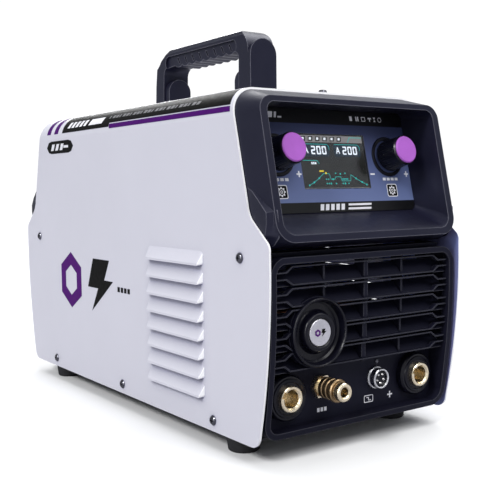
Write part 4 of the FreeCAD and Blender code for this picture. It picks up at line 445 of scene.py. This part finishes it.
def ribbon(name, rows, place, material, low=0.03, high=0.16):
    """rows is a list of (v, first u, last u); the strip between them follows a curved surface."""
    verts = []
    for level in (low, high):
        for v, first, last in rows:
            verts += [place(first, v, level), place(last, v, level)]
    top = 2 * len(rows)
    faces = []
    for row in range(len(rows) - 1):
        faces += strip_faces(2 * row, top + 2 * row)
    end = top - 2
    faces.append([0, top, top + 1, 1])
    faces.append([end, end + 1, top + end + 1, top + end])
    piece = make_piece(name, verts, faces, material)
    fix_normals(piece)
    return piece


def strip_faces(a, b):
    """The four faces of one stretch of a strip: under, over and both sides."""
    under = [a, a + 1, a + 3, a + 2]
    over = [b, b + 2, b + 3, b + 1]
    return [under, over, [a, a + 2, b + 2, b], [a + 1, b + 1, b + 3, a + 3]]


def strips(name, bars, place, material, low, high, rows=6):
    """Slanted bars (first u, low v, last u, high v, lean) that follow a curved surface."""
    verts = []
    faces = []
    for u0, v0, u1, v1, lean in bars:
        base = len(verts)
        for level in (low, high):
            for row in range(rows + 1):
                part = row / rows
                v = v0 + (v1 - v0) * part
                verts += [place(u0 + lean * part, v, level), place(u1 + lean * part, v, level)]
        top = base + 2 * (rows + 1)
        for row in range(rows):
            faces += strip_faces(base + 2 * row, top + 2 * row)
        end = rows * 2
        faces += [[base, top, top + 1, base + 1], [base + end, base + end + 1, top + end + 1, top + end]]
    piece = make_piece(name, verts, faces, material)
    fix_normals(piece)
    return piece


def box(u0, v0, u1, v1, lean=0.0):
    return [(u0, v0), (u1, v0), (u1 + lean, v1), (u0 + lean, v1)]


def disc(u, v, radius, count=24):
    return [(u + radius * math.cos(2 * math.pi * i / count), v + radius * math.sin(2 * math.pi * i / count))
            for i in range(count)]


def polygon(u, v, radius, count):
    """A regular outline; with six sides it stands on a point."""
    angles = [2 * math.pi * (i + 0.5) / count for i in range(count)]
    return [(u + radius * math.cos(angle), v + radius * math.sin(angle)) for angle in angles]


def rounded(u0, v0, u1, v1, radius, count=5):
    points = []
    for cu, cv, start in ((u1 - radius, v0 + radius, -90), (u1 - radius, v1 - radius, 0),
                          (u0 + radius, v1 - radius, 90), (u0 + radius, v0 + radius, 180)):
        for i in range(count + 1):
            angle = math.radians(start + 90 * i / count)
            points.append((cu + radius * math.cos(angle), cv + radius * math.sin(angle)))
    return points


def frame_of(outer, inner):
    """A closed outline drawn as a row of quads between two loops of the same length."""
    quads = []
    for i in range(len(outer)):
        j = (i + 1) % len(outer)
        quads.append([outer[i], outer[j], inner[j], inner[i]])
    return quads


def stroke(points, width):
    """A polyline drawn as one quad per run."""
    quads = []
    for (u0, v0), (u1, v1) in zip(points, points[1:]):
        length = math.hypot(u1 - u0, v1 - v0)
        nu = -(v1 - v0) / length * width / 2
        nv = (u1 - u0) / length * width / 2
        quads.append([(u0 - nu, v0 - nv), (u1 - nu, v1 - nv), (u1 + nu, v1 + nv), (u0 + nu, v0 + nv)])
    return quads


# ---- the cover's printing ----


def height_on_roll(v):
    return ROLL_BASE + (ROLL * math.sin(v / ROLL) if v > 0 else v)


def front_edge(v):
    """The place of the cover's front edge, which slants back from the shoulder to the top."""
    shoulder, lean = 184.5, 20.6
    rise = (height_on_roll(v) - shoulder) / (COVER_TOP - shoulder)
    return -195.3 + lean * rise


def rows_between(v0, v1, first, last, count=14):
    rows = []
    for i in range(count + 1):
        v = v0 + (v1 - v0) * i / count
        rows.append((v, first(v), last(v)))
    return rows


def print_roll(hand, label):
    """The black band, its bars and ticks and the purple stripes over one rolled edge."""
    roll = on_roll(hand)
    step = 18.0

    def front(v):
        return front_edge(v) + 3.6

    ribbon(f"band_front_{label}", rows_between(8.1, 25.0, front, lambda v: step), roll, BAND)
    ribbon(f"band_rear_{label}", rows_between(4.5, 25.0, lambda v: step, lambda v: 121.2), roll, BAND)
    rows = rows_between(2.9, 7.0, front, lambda v: 16.6 + (v - 2.9) * 0.2)
    ribbon(f"stripe_long_{label}", rows, roll, STRIPE)
    for number, at in enumerate((141.0, 159.5)):
        rows = rows_between(4.5, 27.0, lambda v: at - 9.2, lambda v: at)
        ribbon(f"stripe_short_{number}_{label}", rows, roll, STRIPE)
    bars = [(u, 8.6, u - 5.6, 15.0, -2.6) for u in (110.0, 101.0, 92.0, 83.0, 74.0)]
    bars += [(62.0, 8.6, 34.0, 15.0, -2.6)]
    strips(f"band_bars_{label}", bars, roll, WHITE, 0.16, 0.26)
    ticks = []
    for i in range(24):
        start = 22.0 - 6.4 * i
        ticks.append((start, 12.4, start - (4.6 if i % 3 else 2.4), 15.4, -1.2))
    strips(f"band_ticks_{label}", ticks, roll, SILVER, 0.16, 0.26)


def print_side(hand, label):
    """The small pill with bars, and the hexagon, bolt and dots."""
    side = on_side(hand)
    pill = [(94.6, 238.2), (99.5, 243.2), (106.0, 244.4), (148.0, 244.4), (154.5, 243.2), (159.4, 238.2),
            (154.5, 233.2), (148.0, 232.0), (106.0, 232.0), (99.5, 233.2)]
    marks(f"pill_{label}", [pill], side, BAND)
    bars = [box(u, 235.0, u - 6.5, 241.4, -4.0) for u in (149.0, 138.0, 127.0)]
    bars.append(box(117.0, 237.0, 106.0, 239.4))
    marks(f"pill_bars_{label}", bars, side, WHITE, 0.16, 0.24)
    hexagon = frame_of(polygon(107.0, 107.0, 27.5, 6), polygon(107.0, 107.0, 15.0, 6))
    marks(f"hexagon_{label}", hexagon, side, LOGO_PURPLE)
    bolt = [(56.0, 131.3), (22.0, 131.3), (33.0, 112.5), (15.0, 112.5), (60.0, 81.8), (46.0, 104.0),
            (68.0, 104.0)]
    marks(f"bolt_{label}", [bolt], side, BAND)
    dots = [box(u, 104.6, u - 4.4, 109.0) for u in (6.0, -0.4, -6.8, -13.2)]
    marks(f"dots_{label}", dots, side, BAND)


# ---- the control panel's printing ----


def panel(name, shapes, material, lift=0.0):
    return marks(name, shapes, on_panel, material, FILM + 0.02 + lift, FILM + 0.10 + lift)


def print_panel():
    """Plain pictograms along the top, bars along the bottom."""
    low, high = 247.4, 251.0
    middle = (low + high) / 2
    icons = frame_of(disc(54.5, middle, 2.0, 20), disc(54.5, middle, 1.6, 20))
    icons += [box(22.0, low, 24.6, high), box(28.4, low, 29.6, high), box(30.4, low, 31.6, high)]
    icons += frame_of(box(34.6, low, 38.8, high), box(35.1, low + 0.5, 38.3, high - 0.5))
    icons += [box(41.8, 249.4, 45.4, 250.6), box(43.2, low, 44.0, 249.4)]
    icons += [[(47.6, high), (50.0, high), (48.8, middle)], [(47.6, low), (48.8, middle), (50.0, low)]]
    icons += [box(-62.0, low, -60.0, 251.8, 1.0), box(-58.6, low, -54.6, 251.8, 1.0)]
    icons += [box(-53.0, low, -51.0, 251.8, 1.0), box(-49.6, low, -46.0, 248.6, 0.3)]
    panel("panel_icons", icons, WHITE)
    bars = [box(-22.0 + 5.2 * i, 178.3, -18.6 + 5.2 * i, 182.9, 1.1) for i in range(5)]
    bars += [box(6.0, 178.3, 30.0, 179.9, 0.4), box(6.7, 181.4, 30.7, 182.9, 0.4)]
    panel("panel_lower_bars", bars, WHITE)


def gear(x, height):
    """Eight teeth round two rings."""
    tooth = [(-0.65, 2.6), (0.65, 2.6), (0.5, 3.7), (-0.5, 3.7)]
    shapes = []
    for i in range(8):
        cos, sin = math.cos(math.pi / 4 * i), math.sin(math.pi / 4 * i)
        shapes.append([(x + a * cos - b * sin, height + a * sin + b * cos) for a, b in tooth])
    shapes += frame_of(disc(x, height, 2.8, 24), disc(x, height, 2.2, 24))
    shapes += frame_of(disc(x, height, 1.2, 18), disc(x, height, 0.7, 18))
    return shapes


def print_knob(hand, label):
    """Minus, plus and a row of marks under a knob, and a gear in a rounded square."""
    x = hand * KNOB_X
    signs = [box(x - 21.0, 204.9, x - 16.4, 206.1), box(x + 16.4, 204.9, x + 21.0, 206.1),
             box(x + 18.1, 203.2, x + 19.3, 204.9), box(x + 18.1, 206.1, x + 19.3, 207.8)]
    signs += [box(x - 8.4 + 4.4 * i, 200.4, x - 5.2 + 4.4 * i, 202.6) for i in range(4)]
    panel(f"{label}_signs", signs, WHITE)
    outer = rounded(x - 5.6, 187.4, x + 5.6, 197.6, 1.6)
    inner = rounded(x - 5.0, 188.0, x + 5.0, 197.0, 1.2)
    panel(f"{label}_button_frame", frame_of(outer, inner), WHITE)
    panel(f"{label}_button_ground", [rounded(x - 4.9, 188.1, x + 4.9, 196.9, 1.1)], BAND, -0.015)
    panel(f"{label}_gear", gear(x, 192.5), WHITE, 0.06)


# ---- the display's picture, in layers each a little in front of the last ----

LAYER = 0.07


def lcd(name, shapes, material, layer):
    lift = PICTURE + LAYER * layer
    return marks(name, shapes, on_panel, material, lift, lift + 0.06)


def digit(u, v, segments):
    """A seven-segment figure 4.2 wide and 6.4 high."""
    bars = {
        "a": box(u + 0.5, v + 5.3, u + 3.7, v + 6.4), "g": box(u + 0.5, v + 2.65, u + 3.7, v + 3.75),
        "d": box(u + 0.5, v, u + 3.7, v + 1.1), "f": box(u, v + 3.3, u + 1.15, v + 6.1),
        "b": box(u + 3.05, v + 3.3, u + 4.2, v + 6.1), "e": box(u, v + 0.3, u + 1.15, v + 3.1),
        "c": box(u + 3.05, v + 0.3, u + 4.2, v + 3.1),
    }
    return [bars[s] for s in segments]


def lcd_top_bar():
    lcd("lcd_top_bar", [box(-32.6, 230.2, 32.6, 235.4)], LCD_GREY, 1)
    starts = [7.2 * i for i in range(6)]
    lcd("lcd_top_dark", [box(-30.0 + u, 231.0, -25.6 + u, 234.6, 0.8) for u in starts], LCD_BACK, 2)
    lcd("lcd_top_light", [box(-28.8 + u, 232.0, -26.8 + u, 233.8, 0.4) for u in starts], LCD_WHITE, 3)
    lcd("lcd_top_teal", stroke([(17.0, 230.4), (19.6, 234.3), (32.0, 234.3)], 0.5), LCD_TEAL, 3)


def lcd_reading(number, u):
    """A rimmed box that reads A 200."""
    lcd(f"lcd_box_{number}", [rounded(u, 219.2, u + 27.4, 229.0, 1.8)], LCD_NAVY, 1)
    rim = stroke([(u + 1.2, 228.7), (u + 25.4, 228.7), (u + 27.1, 227.0), (u + 27.1, 224.4)], 0.35)
    lcd(f"lcd_box_rim_{number}", rim, LCD_TEAL, 2)
    figures = digit(u + 9.0, 220.9, "abged")
    for start in (14.4, 19.8):
        figures += digit(u + start, 220.9, "abcdef")
    lcd(f"lcd_figures_{number}", figures, LCD_WHITE, 2)
    letter = stroke([(u + 2.6, 221.6), (u + 4.2, 226.6), (u + 5.8, 221.6)], 0.8)
    letter.append(box(u + 3.2, 223.0, u + 5.2, 223.7))
    lcd(f"lcd_unit_{number}", letter, LCD_WHITE, 2)


def lcd_wave():
    """The welding current's course: rise, peak, two levels and fall, with dots at its settings."""
    wave = [(-27.6, 197.4), (-22.6, 199.6), (-17.2, 202.7), (-12.4, 206.2), (-6.6, 206.2), (-5.6, 201.9),
            (-1.6, 201.9), (-0.6, 203.8), (4.6, 203.8), (5.4, 200.6), (14.4, 200.6), (15.4, 205.4),
            (20.2, 202.4), (26.0, 199.6), (30.6, 197.6)]
    lcd("lcd_wave", stroke(wave, 0.34), LCD_TEAL, 1)
    dots = wave[:3] + [(-3.6, 201.9), (-6.0, 198.6), (8.4, 198.6), (4.6, 206.0)] + wave[-3:]
    lcd("lcd_dots", [disc(u, v, 0.75, 12) for u, v in dots], LCD_TEAL, 2)
    small = [(-10.6, 201.5), (-8.6, 201.5), (-10.6, 198.2), (-8.6, 198.2), (-1.4, 198.2), (5.6, 198.2),
             (11.4, 198.2), (-0.6, 206.0), (8.8, 206.0), (6.0, 201.6), (7.6, 201.6), (9.2, 201.6),
             (10.8, 201.6)]
    lcd("lcd_small", [box(u, v, u + 1.2, v + 0.9) for u, v in small], LCD_TEAL, 1)
    lcd("lcd_yellow_dot", [disc(-9.8, 206.6, 0.85, 12), box(-16.0, 207.6, -11.8, 208.7)], LCD_YELLOW, 2)


def draw_display():
    lcd("lcd_ground", [box(-32.9, 195.3, 32.9, 235.7)], LCD_BACK, 0)
    lcd_top_bar()
    for number, u in enumerate((-30.0, 1.6)):
        lcd_reading(number, u)
    lcd("lcd_tab", stroke([(-32.0, 216.2), (-16.8, 216.2), (-14.9, 213.6)], 0.4), LCD_TEAL, 1)
    tab = [box(-22.6 + 1.8 * i, 213.3, -21.4 + 1.8 * i, 215.0) for i in range(3)]
    lcd("lcd_tab_mark", tab, LCD_WHITE, 1)
    lcd_wave()
    lcd("lcd_rim", stroke([(-32.8, 195.2), (32.8, 195.2)], 0.3), LCD_GREY, 3)


# ---- the connector bay's printing ----


def bay(name, shapes):
    return marks(name, shapes, on_bay, WHITE)


def print_bay():
    """Three bars under the gas coupler, a torch switch sign, and a plus by the right socket."""
    bay("bay_gas_mark", [box(u, 28.6, u + 2.4, 31.6) for u in (-33.6, -30.2, -26.8)])
    torch = frame_of(rounded(13.8, 27.9, 23.4, 33.7, 1.0), rounded(14.4, 28.5, 22.8, 33.1, 0.7))
    torch += stroke([(16.4, 31.8), (18.6, 31.8), (18.6, 29.6), (21.0, 29.6)], 0.7)
    bay("bay_torch_mark", torch)
    bay("bay_plus", [box(38.9, 30.3, 44.1, 31.5), box(40.9, 28.3, 42.1, 30.3), box(40.9, 31.5, 42.1, 33.5)])


# ---- the badge's mark ----

BADGE_LOW, BADGE_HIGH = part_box("badge_disc")
BADGE_X = (BADGE_LOW[0] + BADGE_HIGH[0]) / 2 / MM
BADGE_Z = (BADGE_LOW[2] + BADGE_HIGH[2]) / 2 / MM


def on_badge(u, v, w):
    return Vector((BADGE_X + u, BADGE_LOW[1] / MM - w, BADGE_Z + v)) * MM


def print_badge():
    hexagon = frame_of(polygon(-2.6, 0.0, 2.7, 6), polygon(-2.6, 0.0, 1.3, 6))
    marks("badge_hexagon", hexagon, on_badge, LOGO_PURPLE)
    bolt = [(1.6, 2.6), (4.4, 2.6), (3.4, 0.9), (5.2, 0.9), (1.2, -2.8), (2.3, -0.3), (0.6, -0.3)]
    marks("badge_bolt", [bolt], on_badge, BAND)


for side_hand, side_label in ((-1, "left"), (1, "right")):
    print_roll(side_hand, side_label)
    print_side(side_hand, side_label)
    print_knob(side_hand, side_label)
print_panel()
draw_display()
print_bay()
print_badge()


# ---------------------------------------------------------------------------
# Stage: floor, light, camera
# ---------------------------------------------------------------------------


def make_stage():
    mesh = bpy.data.meshes.new("floor")
    reach = 6.0
    corners = [(-reach, -reach, 0.0), (reach, -reach, 0.0), (reach, reach, 0.0), (-reach, reach, 0.0)]
    mesh.from_pydata(corners, [], [(0, 1, 2, 3)])
    floor = bpy.data.objects.new("floor", mesh)
    bpy.context.scene.collection.objects.link(floor)
    m = Nodes("floor")
    white = m.mix(m.spread(m.noise(2.0), 0.0, 1.0), rgb(0.92, 0.92, 0.92), rgb(0.94, 0.94, 0.94))
    seen = m.tree.nodes.new("ShaderNodeLightPath").outputs["Is Camera Ray"]
    m.set(Base_Color=m.mix(seen, rgb(0.42, 0.42, 0.45), white))
    m.set(Roughness=0.8, Specular_IOR_Level=0.1)
    mesh.materials.append(m.material)


def area(name, place, target, width, height, power, gloss_only=False):
    light = bpy.data.lights.new(name, "AREA")
    light.shape = "RECTANGLE"
    light.size = width
    light.size_y = height
    light.energy = power
    thing = bpy.data.objects.new(name, light)
    thing.location = place
    direction = Vector(target) - Vector(place)
    thing.rotation_euler = direction.to_track_quat("-Z", "Y").to_euler()
    thing.visible_camera = False
    thing.visible_diffuse = not gloss_only
    bpy.context.scene.collection.objects.link(thing)


def sun(name, direction, strength, width):
    """A soft distant light that comes from a direction."""
    light = bpy.data.lights.new(name, "SUN")
    light.energy = strength
    light.angle = math.radians(width)
    thing = bpy.data.objects.new(name, light)
    thing.rotation_euler = Vector(direction).to_track_quat("Z", "Y").to_euler()
    bpy.context.scene.collection.objects.link(thing)


def make_world():
    """White behind the machine for the camera, a cooler and dimmer fill for every other ray."""
    world = bpy.data.worlds.new("world")
    bpy.context.scene.world = world
    world.use_nodes = True
    tree = world.node_tree
    tree.nodes.clear()
    out = tree.nodes.new("ShaderNodeOutputWorld")
    seen = tree.nodes.new("ShaderNodeBackground")
    seen.inputs[0].default_value = (1.0, 1.0, 1.0, 1.0)
    seen.inputs[1].default_value = 1.05
    fill = tree.nodes.new("ShaderNodeBackground")
    fill.inputs[0].default_value = (0.92, 0.95, 1.0, 1.0)
    fill.inputs[1].default_value = 0.48
    path = tree.nodes.new("ShaderNodeLightPath")
    mix = tree.nodes.new("ShaderNodeMixShader")
    tree.links.new(path.outputs["Is Camera Ray"], mix.inputs[0])
    tree.links.new(fill.outputs[0], mix.inputs[1])
    tree.links.new(seen.outputs[0], mix.inputs[2])
    tree.links.new(mix.outputs[0], out.inputs[0])


def make_light():
    sun("key", (0.28, 0.30, 0.91), 1.55, 60.0)
    sun("side", (-0.76, -0.22, 0.61), 1.78, 14.0)
    area("front_softbox", (-0.1, -1.5, 1.5), (0.0, -0.2, 0.2), 1.2, 0.8, 15.0)
    area("left_strip", (-1.5, -0.75, 0.45), (0.0, -0.2, 0.18), 0.25, 1.2, 8.0, gloss_only=True)
    area("rear_strip", (0.6, 1.5, 1.1), (0.0, 0.0, 0.3), 0.8, 0.5, 14.0, gloss_only=True)
    area("top_softbox", (1.0, -0.2, 1.6), (0.0, -0.2, 0.26), 1.2, 1.0, 16.0, gloss_only=True)


def make_camera():
    """A camera ahead and to the left of the machine, a little above its middle."""
    camera = bpy.data.cameras.new("camera")
    camera.lens = 60.70
    camera.sensor_width = 36.0
    camera.sensor_fit = "HORIZONTAL"
    camera.clip_start = 0.01
    azimuth, elevation, roll = (math.radians(angle) for angle in (35.376, 4.322, -0.640))
    turn = Matrix.Rotation(-azimuth, 4, "Z") @ Matrix.Rotation(math.pi / 2 - elevation, 4, "X")
    spot = Matrix.Translation((-0.43075, MIDDLE * MM - 0.67133, 0.19712))
    thing = bpy.data.objects.new("camera", camera)
    thing.matrix_world = spot @ turn @ Matrix.Rotation(roll, 4, "Z")
    bpy.context.scene.collection.objects.link(thing)
    bpy.context.scene.camera = thing


make_stage()
make_world()
make_light()
make_camera()
bpy.context.scene.view_settings.view_transform = "Standard"
